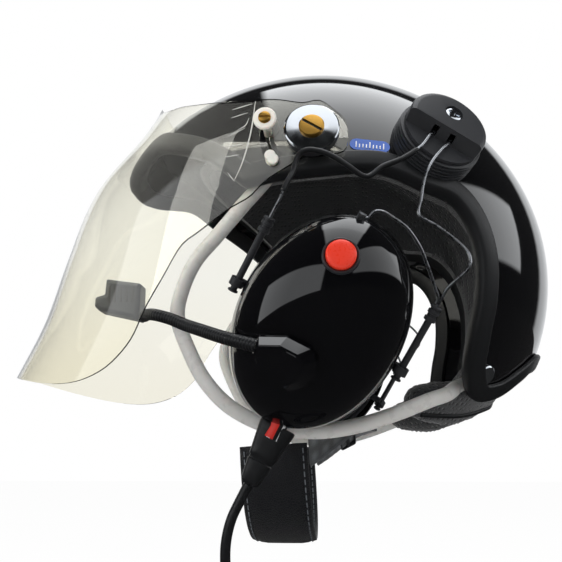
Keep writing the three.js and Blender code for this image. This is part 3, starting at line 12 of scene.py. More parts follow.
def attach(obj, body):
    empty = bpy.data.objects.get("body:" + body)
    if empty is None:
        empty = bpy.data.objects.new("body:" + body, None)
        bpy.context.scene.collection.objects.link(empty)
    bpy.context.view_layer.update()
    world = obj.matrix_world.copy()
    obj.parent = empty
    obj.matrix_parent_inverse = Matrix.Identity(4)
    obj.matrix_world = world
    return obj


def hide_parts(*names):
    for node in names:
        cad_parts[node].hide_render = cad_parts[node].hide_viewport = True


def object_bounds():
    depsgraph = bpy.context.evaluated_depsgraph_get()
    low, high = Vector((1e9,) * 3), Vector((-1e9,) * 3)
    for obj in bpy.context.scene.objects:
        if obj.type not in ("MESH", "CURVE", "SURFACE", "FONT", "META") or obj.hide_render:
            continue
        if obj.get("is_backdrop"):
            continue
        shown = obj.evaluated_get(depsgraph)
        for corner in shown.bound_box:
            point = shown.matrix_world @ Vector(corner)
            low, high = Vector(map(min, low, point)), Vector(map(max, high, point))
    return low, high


bl_info = {
    "name": "Paramotor helmet",
    "version": (1, 0, 0),
    "blender": (4, 5, 0),
    "location": "View3D > Sidebar > Helmet",
    "description": "Dresses the packed paramotor helmet with finished pieces and materials",
    "category": "Object",
}

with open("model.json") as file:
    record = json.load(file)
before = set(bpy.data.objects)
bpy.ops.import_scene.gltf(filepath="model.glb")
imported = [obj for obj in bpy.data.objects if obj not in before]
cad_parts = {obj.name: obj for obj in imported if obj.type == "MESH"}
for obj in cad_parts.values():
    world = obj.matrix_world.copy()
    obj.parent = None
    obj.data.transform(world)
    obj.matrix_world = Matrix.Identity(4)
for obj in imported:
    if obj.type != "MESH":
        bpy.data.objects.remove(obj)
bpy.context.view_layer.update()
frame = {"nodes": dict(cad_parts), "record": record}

# Sizes in millimetres. Places are in the dome's frame, whose origin is CROWN below the row's.
HALF = np.array([141.5, 116.0, 134.3])
CROWN = 97.7
GAP = 0.3
WALL, LINER, LINING = 4.0, 25.0, 7.0
VISOR_SHEET = 2.0
CUP_WIDE, CUP_LONG, CUP_DEEP, CUP_POWER = 41.3, 56.0, 35.0, 2.2
PUCK_BASE, PUCK_HIGH, CAP_RADIUS, CAP_HIGH, CAP_CHAMFER = 23.5, 10.0, 21.8, 9.5, 2.0
CAP_SCREW_AT = CAP_RADIUS * 0.4
WIRE_SLOT, WIRE_BORE = 4.8, 3.5
WIRE, SHEATH = 0.8, 1.4
SLEEVE_OUT, SLEEVE_LOW, SLEEVE_HIGH, SLEEVE_SPREAD, SLIDE = 1.8, -6.0, 34.0, 45.5, 10.0
HOOP = 4.0
DISC, DISC_THICK, DISC_TILT, DISC_OFF, WASHER = 14.25, 2.0, 12.0, 3.3, 13.9
SLOT_REACH, SLOT_WIDE, KNOB_AT, STOP_AT, KNOB_COLLAR = 24.8, 5.0, 165.0, 213.0, 4.4
BOOM = 3.25
CORD, CORD_LENGTH = 2.5, 1.0347

# Side view of the opening, in shares of the dome's half length and half height
BROW = [
    (-1.3, 0.35), (-0.88, 0.484), (-0.76, 0.53), (-0.681, 0.541), (-0.575, 0.481), (-0.413, 0.377),
    (-0.243, 0.22),
]
ARCH = [
    (-0.243, 0.22), (-0.15, 0.24), (0, 0.254), (0.234, 0.2725), (0.31, 0.255), (0.42, 0.205), (0.52, 0.172),
    (0.585, 0.085), (0.622, -0.06), (0.615, -0.22), (0.587, -0.357), (0.57, -0.5), (0.598, -0.582),
    (0.68, -0.572), (0.8, -0.493), (0.87, -0.437), (0.902, -0.427), (1.3, -0.35),
]
VISOR_REACH = [
    (-0.6, 1.4), (-0.521, 1.374), (-0.223, 1.236), (0.074, 1.143), (0.372, 1.03), (0.633, 0.818),
    (0.93, 0.73),
]
VISOR_WIDTH = [(-0.6, 0.922), (0, 0.983), (0.2, 1.015), (0.5, 1.015), (0.67, 0.964), (0.93, 0.58)]
VISOR_TOP = [
    (-0.78, 0.9), (-0.743, 0.895), (-0.721, 0.871), (-0.675, 0.722), (-0.58, 0.64), (-0.53, 0.622),
    (-0.435, 0.588), (-0.267, 0.555), (-0.129, 0.54), (-0.025, 0.5175), (0.033, 0.5257), (0.089, 0.481),
    (0.131, 0.429), (0.124, 0.317), (0.069, 0.2986), (-0.029, 0.2904),
]
VISOR_LOW = [
    (-0.029, 0.2904), (-0.17, 0.201), (-0.222, 0.149), (-0.294, 0.112), (-0.419, 0.03), (-0.481, -0.011),
    (-0.555, -0.13), (-0.623, -0.246), (-0.679, -0.369), (-0.751, -0.4505), (-0.813, -0.491),
    (-0.91, -0.521), (-1.041, -0.521), (-1.237, -0.48), (-1.38, -0.43),
]
# Stress lines in the visor's left side where it was bent: their places in side view and radius
CREASES = [
    ([(-28.9, 72.4), (-31.1, 53.9), (-35.5, 37.6), (-39.4, 29.1)], 0.42),
    ([(-41.6, 69.6), (-30.6, 71.3)], 0.24), ([(-42.1, 64.6), (-32.8, 66.3)], 0.2),
    ([(-32.2, 62.9), (-33.9, 58.9), (-38.3, 56.7)], 0.22), ([(-43.2, 53.9), (-33.9, 57.3)], 0.2),
    ([(-43.8, 47.7), (-35.5, 48.3)], 0.2), ([(-44.9, 42.1), (-37.2, 42.6)], 0.2),
    ([(-43.2, 33.6), (-39.4, 28)], 0.22),
]
HOOP_ROUTE = [
    (-0.127, -0.8, 0.35), (-0.189, -0.838, 0.245), (-0.274, -0.828, 0.145), (-0.366, -0.784, 0.046),
    (-0.453, -0.75, -0.051), (-0.505, -0.724, -0.165), (-0.52, -0.716, -0.266), (-0.47, -0.707, -0.414),
    (-0.407, -0.707, -0.529), (-0.315, -0.707, -0.626), (-0.182, -0.707, -0.696), (-0.058, -0.707, -0.718),
    (0.033, -0.703, -0.719), (0.159, -0.694, -0.697), (0.307, -0.664, -0.647), (0.421, -0.621, -0.599),
    (0.489, -0.562, -0.573), (0.537, -0.484, -0.54), (0.594, -0.446, -0.514), (0.636, -0.436, -0.491),
]
FRONT_WIRE = [
    (0.434, -0.974, 0.383), (0.391, -1.026, 0.314), (0.324, -1.052, 0.259), (0.252, -1.069, 0.223),
    (0.195, -1.086, 0.18), (0.131, -1.103, 0.219), (0.082, -1.112, 0.253), (0.04, -1.116, 0.273),
    (-0.008, -1.116, 0.281), (-0.036, -1.116, 0.266), (-0.051, -1.116, 0.229), (-0.057, -1.118, 0.2),
    (-0.079, -1.135, 0.15),
]
REAR_WIRE = [
    (0.472, -0.978, 0.32), (0.419, -1.034, 0.235), (0.396, -1.043, 0.172), (0.382, -1.047, 0.096),
    (0.372, -1.052, 0.042), (0.438, -1.052, -0.011), (0.503, -1.05, -0.07), (0.533, -1.055, -0.114),
    (0.532, -1.06, -0.16),
]
BAIL = [
    (0.194, -1.164, 0), (0.214, -1.172, 0.019), (0.242, -1.172, 0.019), (0.284, -1.164, -0.007),
    (0.32, -1.151, -0.034), (0.365, -1.121, -0.1), (0.389, -1.091, -0.16), (0.412, -1.056, -0.225),
]
BOOM_ROUTE = [
    (-0.286, -1.121, -0.414), (-0.39, -0.991, -0.365), (-0.458, -0.905, -0.332), (-0.526, -0.841, -0.297),
    (-0.59, -0.785, -0.272), (-0.645, -0.67, -0.25), (-0.69, -0.515, -0.232),
]
HOUSING = [
    (-0.578, 0.17), (-0.588, -0.03), (-0.44, -0.17), (-0.06, -0.33), (0.17, -0.33),
    (0.33, -0.14), (0.375, 0.09), (0.31, 0.266), (0.14, 0.39), (-0.22, 0.375),
]
HOUSING_LENGTH, HOUSING_HIGH = 32.0, 8.6
POD_WALL, POD_FRONT_SHARE, POD_FRONT_OFFSET = 3.0, 0.76, np.array([-2.4, 0.2])
MIC_PLACE = (-0.802, -0.46, -0.16)
MIC = [
    (-0.27, 0.47), (0.47, 0.36), (0.475, -0.22), (0.46, -0.42), (-0.4, -0.22), (-0.5, -0.12), (-0.49, 0.07),
    (-0.29, 0.13),
]
MIC_SIZE, MIC_WIDE = 27.0, 8.0
STRAP = [
    (0.254, -0.556, -0.672), (0.17, -0.543, -0.682), (0.085, -0.526, -0.722), (0.014, -0.49, -0.765),
    (-0.031, -0.46, -0.79),
]
STRAP_WAY = [(0, 1, 0), (0, 1, 0.1), (0, 1, 0.3), (0, 0.8, 0.6), (0.1, 0.5, 0.85)]
PAD_SIDE = [(0.43, -0.765), (0.433, -0.84), (0.42, -0.93), (0.36, -1.04), (0.24, -1.12), (0, -1.165)]
RIVET = (0.632, -0.59, -0.497)
CORD_ROUTE = [
    (-32.4, -100.3, -122.7), (-36.4, -100.4, -130.4), (-40.5, -100.3, -139), (-43, -99.6, -150),
    (-43, -98, -162), (-40.5, -95.6, -174), (-35.5, -92.2, -186), (-28, -88.4, -196), (-19, -85.2, -202.2),
    (-9.5, -83.9, -204.1), (-5, -83.9, -204.1), (-0.6, -83.9, -204.1),
]
COIL_CENTRE, COIL_RADIUS, COIL_PITCH, COIL_TURNS, COIL_DIP = np.array([0, -50, -209.6]), 27.0, 5.5, 2.5, 1.2
PLUG, TIP = 5.0, 1.75
COLLAR, COLLAR_FORWARD = 4.9, 2.2
# Where the piping runs round the neck roll's section, in radians
BEAD_AT = -1.1


def linear(text):
    """An sRGB hex colour as linear red, green and blue."""
    parts = [int(text[i:i + 2], 16) / 255 for i in (1, 3, 5)]
    return tuple(c / 12.92 if c <= 0.04045 else ((c + 0.055) / 1.055) ** 2.4 for c in parts)


def colour_of(name, text, note):
    return FloatVectorProperty(
        name=name, description=note, subtype="COLOR", size=3, min=0, max=1, default=linear(text),
    )


def length_of(name, default, note):
    return FloatProperty(name=name, description=note, default=default, min=0, unit="NONE", precision=2)


class HelmetFinishes(bpy.types.PropertyGroup):
    shell: colour_of("Shell lacquer", "#08080a", "Colour of the lacquered shell and cups")
    trim: colour_of("Edge trim", "#17181a", "Colour of the extruded rubber round the edge")
    cloth: colour_of("Lining cloth", "#131416", "Colour of the perforated lining")
    foam: colour_of("Liner foam", "#1b1c1e", "Colour of the moulded bead foam")
    visor: colour_of("Visor tint", "#fdfcf4", "Tint of the clear visor")
    fittings: colour_of("Fittings", "#2a2b2e", "Colour of the moulded pucks and bezels")
    nylon: colour_of("White nylon", "#efebe2", "Colour of the visor's knobs and stops")
    tube: colour_of("Hoop tube", "#c6c5c2", "Colour of the extruded hoops")
    leather: colour_of("Leather", "#15161a", "Colour of the cushions and the chin pad")
    button: colour_of("Talk button", "#e23a26", "Colour of the push button's cap")
    webbing: colour_of("Webbing", "#4b4e52", "Colour of the chin strap")
    sticker: colour_of("Size sticker", "#1f56b4", "Colour of the blank size sticker")


class HelmetDetails(bpy.types.PropertyGroup):
    trim_lap: length_of("Trim lap, mm", 8.8, "How far the trim laps the shell")
    trim_thick: length_of("Trim thickness, mm", 2.3, "Thickness of the trim over the shell")
    groove: length_of("Rim groove depth, mm", 0.5, "Depth of the grooves round the cup's rim")
    rib_pitch: length_of("Boom rib pitch, mm", 2.1, "Distance between the ribs of the gooseneck")
    rib_depth: length_of("Boom rib depth, mm", 0.5, "Depth of the grooves of the gooseneck")
    stitch: length_of("Stitch pitch, mm", 4.2, "Distance between stitches on the chin pad")
    seam: length_of("Lining seam depth, mm", 2.6, "Depth of the sewn channels in the lining")
    threads: IntProperty(
        name="Puck threads", description="Rings round the puck's base", default=4, min=1, max=8,
    )


class HelmetStage(bpy.types.PropertyGroup):
    azimuth: FloatProperty(
        name="Azimuth", description="Camera's turn about the helmet", default=math.radians(4.5),
        subtype="ANGLE",
    )
    elevation: FloatProperty(
        name="Elevation", description="Camera's height", default=math.radians(-13.5), subtype="ANGLE",
    )
    distance: FloatProperty(
        name="Distance", description="Camera to the helmet", default=0.494, unit="LENGTH",
    )
    lens: FloatProperty(name="Lens", description="Focal length", default=48.68, unit="CAMERA")
    floor: colour_of("Floor", "#f6f6f6", "Colour of the floor")


# Materials


def node(tree, kind, settings=None, inputs=None):
    """A shader node with its settings; an input takes a value or another node's output."""
    made = tree.nodes.new("ShaderNode" + kind)
    for name, value in (settings or {}).items():
        setattr(made, name, value)
    for name, value in (inputs or {}).items():
        if isinstance(value, bpy.types.NodeSocket):
            tree.links.new(value, made.inputs[name])
        else:
            made.inputs[name].default_value = value
    return made


def maths(tree, operation, first, second=None):
    inputs = {0: first} if second is None else {0: first, 1: second}
    return node(tree, "Math", {"operation": operation}, inputs).outputs[0]


def new_material(name, colour, **inputs):
    """A material with its node tree, its shader and the object's place in metres."""
    material = bpy.data.materials.new(name)
    material.use_nodes = True
    tree = material.node_tree
    shader = tree.nodes["Principled BSDF"]
    shader.inputs["Base Color"].default_value = (*colour, 1)
    for key, value in inputs.items():
        shader.inputs[key.replace("_", " ").title().replace("Ior", "IOR")].default_value = value
    place = node(tree, "TexCoord").outputs["Object"]
    return material, tree, shader, place


def per_mm(size):
    """Texture scale of a feature of that size in millimetres."""
    return 1000 / size


def grain(tree, shader, place, size, depth, detail=3, second=None):
    """Relief and a little change of gloss from noise of a size in millimetres."""
    noise = node(tree, "TexNoise", None, {"Vector": place, "Scale": per_mm(size), "Detail": detail})
    height = noise.outputs[0]
    if second:
        height = maths(tree, "ADD", height, second)
    bump = node(tree, "Bump", None, {"Height": height, "Distance": depth / 1000, "Strength": 1.0})
    tree.links.new(bump.outputs["Normal"], shader.inputs["Normal"])
    return noise.outputs[0]


def rough_between(tree, shader, source, low, high):
    gloss = node(
        tree, "MapRange", None,
        {"Value": source, "From Min": 0.3, "From Max": 0.7, "To Min": low, "To Max": high},
    )
    tree.links.new(gloss.outputs[0], shader.inputs["Roughness"])


def shaded(tree, shader, source, dark, light):
    """Base colour that runs between two shares of itself."""
    base = shader.inputs["Base Color"].default_value[:3]
    mix = node(tree, "MixRGB", None, {
        "Fac": source,
        "Color1": (*[c * dark for c in base], 1),
        "Color2": (*[min(c * light, 1) for c in base], 1),
    })
    tree.links.new(mix.outputs[0], shader.inputs["Base Color"])


def polystyrene(tint):
    # Moulded bead foam, dyed dark: beads of 3 mm show as soft cells
    material, tree, shader, place = new_material(
        "Bead foam, charcoal", tint.foam, roughness=0.9, specular_ior_level=0.3,
    )
    cells = node(tree, "TexVoronoi", None, {"Vector": place, "Scale": per_mm(3)}).outputs["Distance"]
    grain(tree, shader, place, 1.2, 0.08, 2, cells)
    shaded(tree, shader, cells, 0.8, 1.2)
    return material


def lining_cloth(tint):
    # Perforated spacer mesh: holes 2.6 mm apart between soft knitted bars, drawn a little coarse so that
    # they show
    material, tree, shader, place = new_material(
        "Perforated spacer mesh, black", tint.cloth, roughness=0.88, sheen_weight=0.35, sheen_roughness=0.5,
    )
    cells = node(
        tree, "TexVoronoi", None, {"Vector": place, "Scale": per_mm(2.6), "Randomness": 0.25},
    ).outputs["Distance"]
    holes = node(
        tree, "MapRange", None,
        {"Value": cells, "From Min": 0.16, "From Max": 0.42, "To Min": 0.0, "To Max": 1.0},
    ).outputs[0]
    # The holes are painted near black as painted shade inside them, and the bars between them lighter
    shaded(tree, shader, holes, 0.12, 2.4)
    grain(tree, shader, place, 0.5, 0.35, 2, holes)
    return material


def visor_clear(tint):
    # Clear polycarbonate, IOR 1.58: light passes straight in shadow, and the lower half has yellowed a little
    material, tree, shader, place = new_material(
        "Clear polycarbonate", tint.visor, roughness=0.015, transmission_weight=1.0, ior=1.58,
    )
    height = node(tree, "SeparateXYZ", None, {0: place}).outputs["Z"]
    fresh = node(tree, "MapRange", None, {"Value": height, "From Min": -0.16, "From Max": -0.07}).outputs[0]
    shaded_sheet = node(
        tree, "MixRGB", None, {"Fac": fresh, "Color1": (*linear("#fbf8ea"), 1), "Color2": (*tint.visor, 1)},
    )
    tree.links.new(shaded_sheet.outputs[0], shader.inputs["Base Color"])
    grain(tree, shader, place, 60, 0.05, 1)
    rays = node(tree, "LightPath")
    through = node(tree, "BsdfTransparent", None, {"Color": (0.93, 0.93, 0.9, 1)})
    passing = node(
        tree, "MixShader", None,
        {0: rays.outputs["Is Shadow Ray"], 1: shader.outputs[0], 2: through.outputs[0]},
    )
    tree.links.new(passing.outputs[0], tree.nodes["Material Output"].inputs["Surface"])
    return material


def chrome(tint):
    # Polished chrome plate: a mirror with faint turning lines
    material, tree, shader, place = new_material(
        "Chrome plate, polished", linear("#c9cdd2"), metallic=1.0, roughness=0.09,
    )
    smear = node(tree, "TexNoise", None, {"Vector": place, "Scale": per_mm(6), "Detail": 2}).outputs[0]
    rough_between(tree, shader, smear, 0.05, 0.14)
    return material


def steel_wire(tint):
    # Drawn spring steel, dulled: grey metal whose bends catch the light
    material, tree, shader, place = new_material(
        "Drawn spring steel", linear("#9a9ca0"), metallic=1.0, roughness=0.28,
    )
    wear = node(tree, "TexNoise", None, {"Vector": place, "Scale": per_mm(2.5), "Detail": 3}).outputs[0]
    rough_between(tree, shader, wear, 0.2, 0.42)
    shaded(tree, shader, wear, 0.7, 1.5)
    return material


def hoop_grey(tint):
    # Extruded soft PVC tube: pale pinkish grey, milky, with a smooth satin skin and dust rubbed along it
    material, tree, shader, place = new_material(
        "Extruded PVC tube, pale grey", tint.tube, roughness=0.28, subsurface_weight=0.12,
        subsurface_scale=0.003,
    )
    dust = grain(tree, shader, place, 5, 0.03, 4)
    rough_between(tree, shader, dust, 0.22, 0.4)
    shaded(tree, shader, dust, 0.92, 1.05)
    return material


def cushion_leather(tint):
    # Protein leather over foam: black, with pebbles of 1.3 mm and creases between them
    material, tree, shader, place = new_material(
        "Protein leather, black", tint.leather, roughness=0.46, specular_ior_level=0.4, sheen_weight=0.1,
    )
    cells = node(
        tree, "TexVoronoi", {"feature": "DISTANCE_TO_EDGE"}, {"Vector": place, "Scale": per_mm(1.3)},
    ).outputs[0]
    pebble = node(tree, "MapRange", None, {"Value": cells, "From Min": 0.0, "From Max": 0.12}).outputs[0]
    noise = grain(tree, shader, place, 5, 0.16, 4, pebble)
    shaded(tree, shader, noise, 0.75, 1.4)
    return material


def webbing(tint):
    # Woven polyester: picks 1.2 mm apart across the strap and cords 1.6 mm apart along it
    material, tree, shader, place = new_material(
        "Woven polyester webbing", tint.webbing, roughness=0.8, sheen_weight=0.3,
    )
    flat = node(tree, "TexCoord").outputs["UV"]
    along = node(
        tree, "TexWave", {"wave_type": "BANDS", "bands_direction": "X"},
        {"Vector": flat, "Scale": per_mm(1.6) / 20},
    ).outputs[0]
    over = node(
        tree, "TexWave", {"wave_type": "BANDS", "bands_direction": "Y"},
        {"Vector": flat, "Scale": per_mm(1.2) / 20},
    ).outputs[0]
    weave = maths(tree, "MULTIPLY", along, over)
    shaded(tree, shader, weave, 0.55, 1.5)
    grain(tree, shader, place, 0.4, 0.2, 2, weave)
    return material


# Finishes made by plain_finish: a name, a colour or the setting that holds it, then the size and depth of the
# relief in millimetres with its detail, then the range of roughness, if it changes, then the shader's inputs
PLAIN_FINISHES = {
    # Sprayed lacquer on ABS: near black, mirror gloss, the faint waves of orange peel every 4 mm
    "shell_gloss": (
        "Lacquered ABS, black", "shell", (4, 0.006, 1), None,
        {"roughness": 0.06, "coat_weight": 0.6, "coat_roughness": 0.03},
    ),
    # Moulded ABS polished in the tool: black, and glossier than the shell, with soft sink marks every 12 mm
    "cup_gloss": (
        "Polished ABS, black", "shell", (12, 0.012, 1), None,
        {"roughness": 0.045, "coat_weight": 0.4, "coat_roughness": 0.02},
    ),
    # Extruded EPDM: matt black with a fine skin of 0.6 mm and lighter scuffs
    "trim_rubber": (
        "Extruded EPDM, black", "trim", (0.6, 0.03, 3), (0.34, 0.52), {
            "roughness": 0.42, "specular_ior_level": 0.45,
        },
    ),
    # Glass-filled nylon, moulded: satin, with a fine spark-eroded texture of 0.5 mm
    "fitting_black": (
        "Glass-filled nylon, satin black", "fittings", (0.5, 0.04, 3), (0.34, 0.5),
        {"roughness": 0.4, "specular_ior_level": 0.5},
    ),
    # Turned brass screws: warm yellow metal with lathe marks of 0.5 mm
    "brass": ("Turned brass", "#d9a851", (0.5, 0.015, 3), (0.34, 0.5), {"metallic": 1.0, "roughness": 0.4}),
    # Natural nylon: creamy white, a little light passes into it
    "white_nylon": (
        "Moulded nylon, natural white", "nylon", (1.5, 0.02, 2), None,
        {"roughness": 0.35, "subsurface_weight": 0.15, "subsurface_scale": 0.002},
    ),
    # Moulded ABS cap, red, satin from fingers
    "button_red": (
        "Moulded ABS, red", "button", (1.2, 0.015, 2), (0.22, 0.4),
        {"roughness": 0.3, "subsurface_weight": 0.06, "subsurface_scale": 0.001},
    ),
    # Moulded soft PVC of the lead and its boots: black with a slight bloom
    "lead_rubber": (
        "Moulded PVC, black", "#151618", (1.8, 0.02, 3), (0.3, 0.5), {
            "roughness": 0.38, "specular_ior_level": 0.5,
        },
    ),
    # Heat-shrink sleeve, red: smooth, slightly wavy over what it grips
    "red_sleeve": ("Heat-shrink sleeve, red", "#c8281e", (1.5, 0.04, 2), None, {"roughness": 0.3}),
    # Painted highlight on the collar: a pale grey, partly metal, bright from every side, that stands for the
    # chrome's reflections
    "highlight_silver": ("Silver, painted highlight", "#dcdddf", (0.6, 0.01, 2), None, {"metallic": 0.3, "roughness": 0.3}),
    # Printed vinyl film, blue, under a gloss laminate
    "sticker_film": (
        "Vinyl film, blue", "sticker", (3, 0.01, 2), None, {"roughness": 0.22, "coat_weight": 0.3},
    ),
    # White ink on the vinyl film
    "sticker_ink": ("Vinyl ink, white", "#eef0f4", (1, 0.01, 2), None, {"roughness": 0.3}),
    # Moulded ABS of the microphone: blue-grey satin
    "mic_plastic": ("Moulded ABS, slate", "#262b33", (0.7, 0.04, 3), (0.34, 0.5), {"roughness": 0.42}),
    # Bonded nylon thread, grey, with its twist
    "stitch_thread": ("Bonded nylon thread, grey", "#6d7278", (0.4, 0.08, 2), None, {"roughness": 0.6}),
    # Stress lines in polycarbonate: whitened where the sheet was bent
    "scored_plastic": (
        "Whitened polycarbonate", "#f0efea", (1.5, 0.05, 3), None, {"roughness": 0.3, "alpha": 0.75},
    ),
}
LAYERED_FINISHES = {
    "polystyrene": polystyrene, "lining_cloth": lining_cloth, "visor_clear": visor_clear, "chrome": chrome,
    "steel_wire": steel_wire, "hoop_grey": hoop_grey, "cushion_leather": cushion_leather, "webbing": webbing,
}
made_finishes = {}


def plain_finish(tint, name, colour, relief, gloss, inputs):
    """A finish of one colour with fine relief."""
    tone = linear(colour) if colour.startswith("#") else getattr(tint, colour)
    material, tree, shader, place = new_material(name, tone, **inputs)
    marks = grain(tree, shader, place, *relief)
    if gloss:
        rough_between(tree, shader, marks, *gloss)
    return material


def finish(name):
    """The finish of that name, made at its first use."""
    if name not in made_finishes:
        tint = bpy.context.scene.helmet_finishes
        if name in PLAIN_FINISHES:
            made_finishes[name] = plain_finish(tint, *PLAIN_FINISHES[name])
        else:
            made_finishes[name] = LAYERED_FINISHES[name](tint)
    return made_finishes[name]


# Shapes


class Shape:
    """Points in millimetres, faces, and a flat place in metres for each corner of each face."""

    def __init__(self, points, faces, flat=None):
        self.points = np.asarray(points, float)
        self.faces = [list(face) for face in faces]
        self.flat = flat or [[(0, 0)] * len(face) for face in self.faces]

    def moved(self, matrix):
        points = self.points @ matrix[:3, :3].T + matrix[:3, 3]
        return Shape(points, self.faces, self.flat)

    def mirrored(self):
        return Shape(
            self.points * [1, -1, 1], [face[::-1] for face in self.faces],
            [flat[::-1] for flat in self.flat],
        )

    def reversed(self):
        return Shape(self.points, [face[::-1] for face in self.faces], [flat[::-1] for flat in self.flat])


def joined(*shapes):
    points, faces, flat = [], [], []
    count = 0
    for shape in shapes:
        points.append(shape.points)
        faces += [[count + i for i in face] for face in shape.faces]
        flat += shape.flat
        count += len(shape.points)
    return Shape(np.concatenate(points), faces, flat)


def loft(rings, round_way=False, tips=None, ends=True):
    """Rings of points joined one to the next, closed by flat ends, by tips or round to the first ring."""
    rings = [np.asarray(ring, float) for ring in rings]
    sides = len(rings[0])
    points = [p for ring in rings for p in ring]
    first = rings[0]
    around = np.concatenate([[0], np.cumsum(np.linalg.norm(np.roll(first, -1, 0) - first, axis=1))]) / 1000
    middles = np.array([ring.mean(0) for ring in rings])
    along = np.concatenate([[0], np.cumsum(np.linalg.norm(np.diff(middles, axis=0), axis=1))]) / 1000
    along = np.append(along, along[-1])
    faces, flat = [], []
    spans = len(rings) if round_way else len(rings) - 1
    for i in range(spans):
        below = i * sides
        above = ((i + 1) % len(rings)) * sides
        for j in range(sides):
            k = (j + 1) % sides
            faces.append((below + j, below + k, above + k, above + j))
            near, far, start, stop = around[j], around[j + 1], along[i], along[i + 1]
            flat.append([(near, start), (far, start), (far, stop), (near, stop)])
    last = (len(rings) - 1) * sides
    if tips is not None:
        for tip, start, order in ((tips[0], 0, 1), (tips[1], last, -1)):
            points.append(np.asarray(tip, float))
            for j in range(sides):
                face = (start + (j + 1) % sides, start + j, len(points) - 1)
                faces.append(face[::order])
                flat.append([(0, 0)] * 3)
    elif ends and not round_way:
        faces += [tuple(range(sides))[::-1], tuple(last + j for j in range(sides))]
        flat += [[(0, 0)] * sides] * 2
    return Shape(points, faces, flat)


def in_dome(share):
    return np.asarray(share, float) * HALF


def smooth_route(points, spacing, least=8):
    """Points at even steps along the smooth curve through the given ones."""
    points = np.asarray(points, float)
    ends = (2 * points[0] - points[1], 2 * points[-1] - points[-2])
    padded = np.vstack([ends[0], points, ends[1]])
    dense = []
    for i in range(1, len(padded) - 2):
        a, b, c, d = padded[i - 1:i + 3]
        steps = [max(np.linalg.norm(q - p) ** 0.5, 1e-4) for p, q in ((a, b), (b, c), (c, d))]
        start = ((b - a) / steps[0] - (c - a) / (steps[0] + steps[1]) + (c - b) / steps[1]) * steps[1]
        stop = ((c - b) / steps[1] - (d - b) / (steps[1] + steps[2]) + (d - c) / steps[2]) * steps[1]
        for t in np.linspace(0, 1, 24, endpoint=False):
            bend = (3 * (c - b) - 2 * start - stop) * t * t
            dense.append(b + start * t + bend + (2 * (b - c) + start + stop) * t ** 3)
    dense.append(points[-1])
    return evenly(np.array(dense), spacing, least)


def evenly(dense, spacing, least=8):
    lengths = np.concatenate([[0], np.cumsum(np.linalg.norm(np.diff(dense, axis=0), axis=1))])
    count = max(least, int(round(lengths[-1] / spacing)))
    places = np.linspace(0, lengths[-1], count + 1)
    return np.stack([np.interp(places, lengths, dense[:, k]) for k in range(dense.shape[1])], 1)


def unit(vector):
    vector = np.asarray(vector, float)
    return vector / np.linalg.norm(vector)


def ways_along(route):
    ways = np.gradient(route, axis=0)
    return ways / np.linalg.norm(ways, axis=1)[:, None]


def tube(route, radius_at, sides=16):
    """A round bar along a route; its radius may change with the share of the way."""
    ways = ways_along(route)
    side = unit(np.cross(ways[0], [0.3, 0.2, 0.93]))
    turn = np.linspace(0, 2 * np.pi, sides, endpoint=False)
    rings = []
    for i, (place, way) in enumerate(zip(route, ways)):
        side = unit(side - way * np.dot(side, way))
        other = np.cross(way, side)
        radius = radius_at(i / (len(route) - 1))
        rings.append(place + radius * (np.cos(turn)[:, None] * side + np.sin(turn)[:, None] * other))
    return loft(rings)


def ribbon(route, section, wide_at):
    """A section of (width, thickness) points swept along a route; wide_at gives its width's way."""
    ways = ways_along(route)
    rings = []
    for i, (place, way) in enumerate(zip(route, ways)):
        wide = np.asarray(wide_at(i / (len(route) - 1)), float)
        wide = unit(wide - way * np.dot(wide, way))
        out = np.cross(way, wide)
        rings.append(np.array([place + w * wide + t * out for w, t in section]))
    return loft(rings)


def rounded(half_wide, half_thick, radius, steps=3):
    """Outline of a rectangle with round corners."""
    points = []
    for sx, sy, start in ((1, 1, 0), (-1, 1, 90), (-1, -1, 180), (1, -1, 270)):
        for i in range(steps + 1):
            turn = math.radians(start + 90 * i / steps)
            across_at, up_at = sx * (half_wide - radius), sy * (half_thick - radius)
            points.append((across_at + radius * math.cos(turn), up_at + radius * math.sin(turn)))
    return points


def turned(profile, sides=48):
    """A profile of (radius, height) turned about Z."""
    turn = np.linspace(0, 2 * np.pi, sides, endpoint=False)
    rings = [
        np.stack([r * np.cos(turn), r * np.sin(turn), np.full(sides, h)], 1)
        for r, h in profile if r > 0
    ]
    tips = [(0, 0, profile[0][1]), (0, 0, profile[-1][1])] if profile[0][0] == 0 else None
    return loft(rings, round_way=tips is None, tips=tips)


def slab(outline, low, high, bevel=0.0):
    """A flat outline given a height, with its top and bottom edges broken by a bevel."""
    flat = np.asarray(outline, float)
    if signed_area(flat) < 0:
        flat = flat[::-1]
    rings = []
    drawn = flat + inward(flat) * bevel
    for height, ring in ((low, drawn), (low + bevel, flat), (high - bevel, flat), (high, drawn)):
        rings.append(np.column_stack([ring, np.full(len(ring), height)]))
    return loft(rings)


def signed_area(flat):
    x, y = flat[:, 0], flat[:, 1]
    return 0.5 * np.sum(x * np.roll(y, -1) - y * np.roll(x, -1))


def inward(flat):
    """At each corner, the way into the outline that keeps a bevel even."""
    before = flat - np.roll(flat, 1, 0)
    after = np.roll(flat, -1, 0) - flat
    before /= np.linalg.norm(before, axis=1)[:, None]
    after /= np.linalg.norm(after, axis=1)[:, None]
    inside = np.stack([-before[:, 1] - after[:, 1], before[:, 0] + after[:, 0]], 1)
    return inside / np.maximum(1 + np.sum(before * after, axis=1), 0.3)[:, None]


def placed(place, x, y, z):
    matrix = np.eye(4)
    matrix[:3, :3] = np.column_stack([x, y, z])
    matrix[:3, 3] = place
    return matrix


def shifted(x, y, z):
    return placed((x, y, z), (1, 0, 0), (0, 1, 0), (0, 0, 1))


def turned_to(place, way, about=(0, 0, 1)):
    """A frame at a place whose Z is the way."""
    z = unit(way)
    x = np.cross(about, z)
    x = unit(x) if np.linalg.norm(x) > 1e-6 else np.array([1.0, 0, 0])
    return placed(place, x, np.cross(z, x), z)


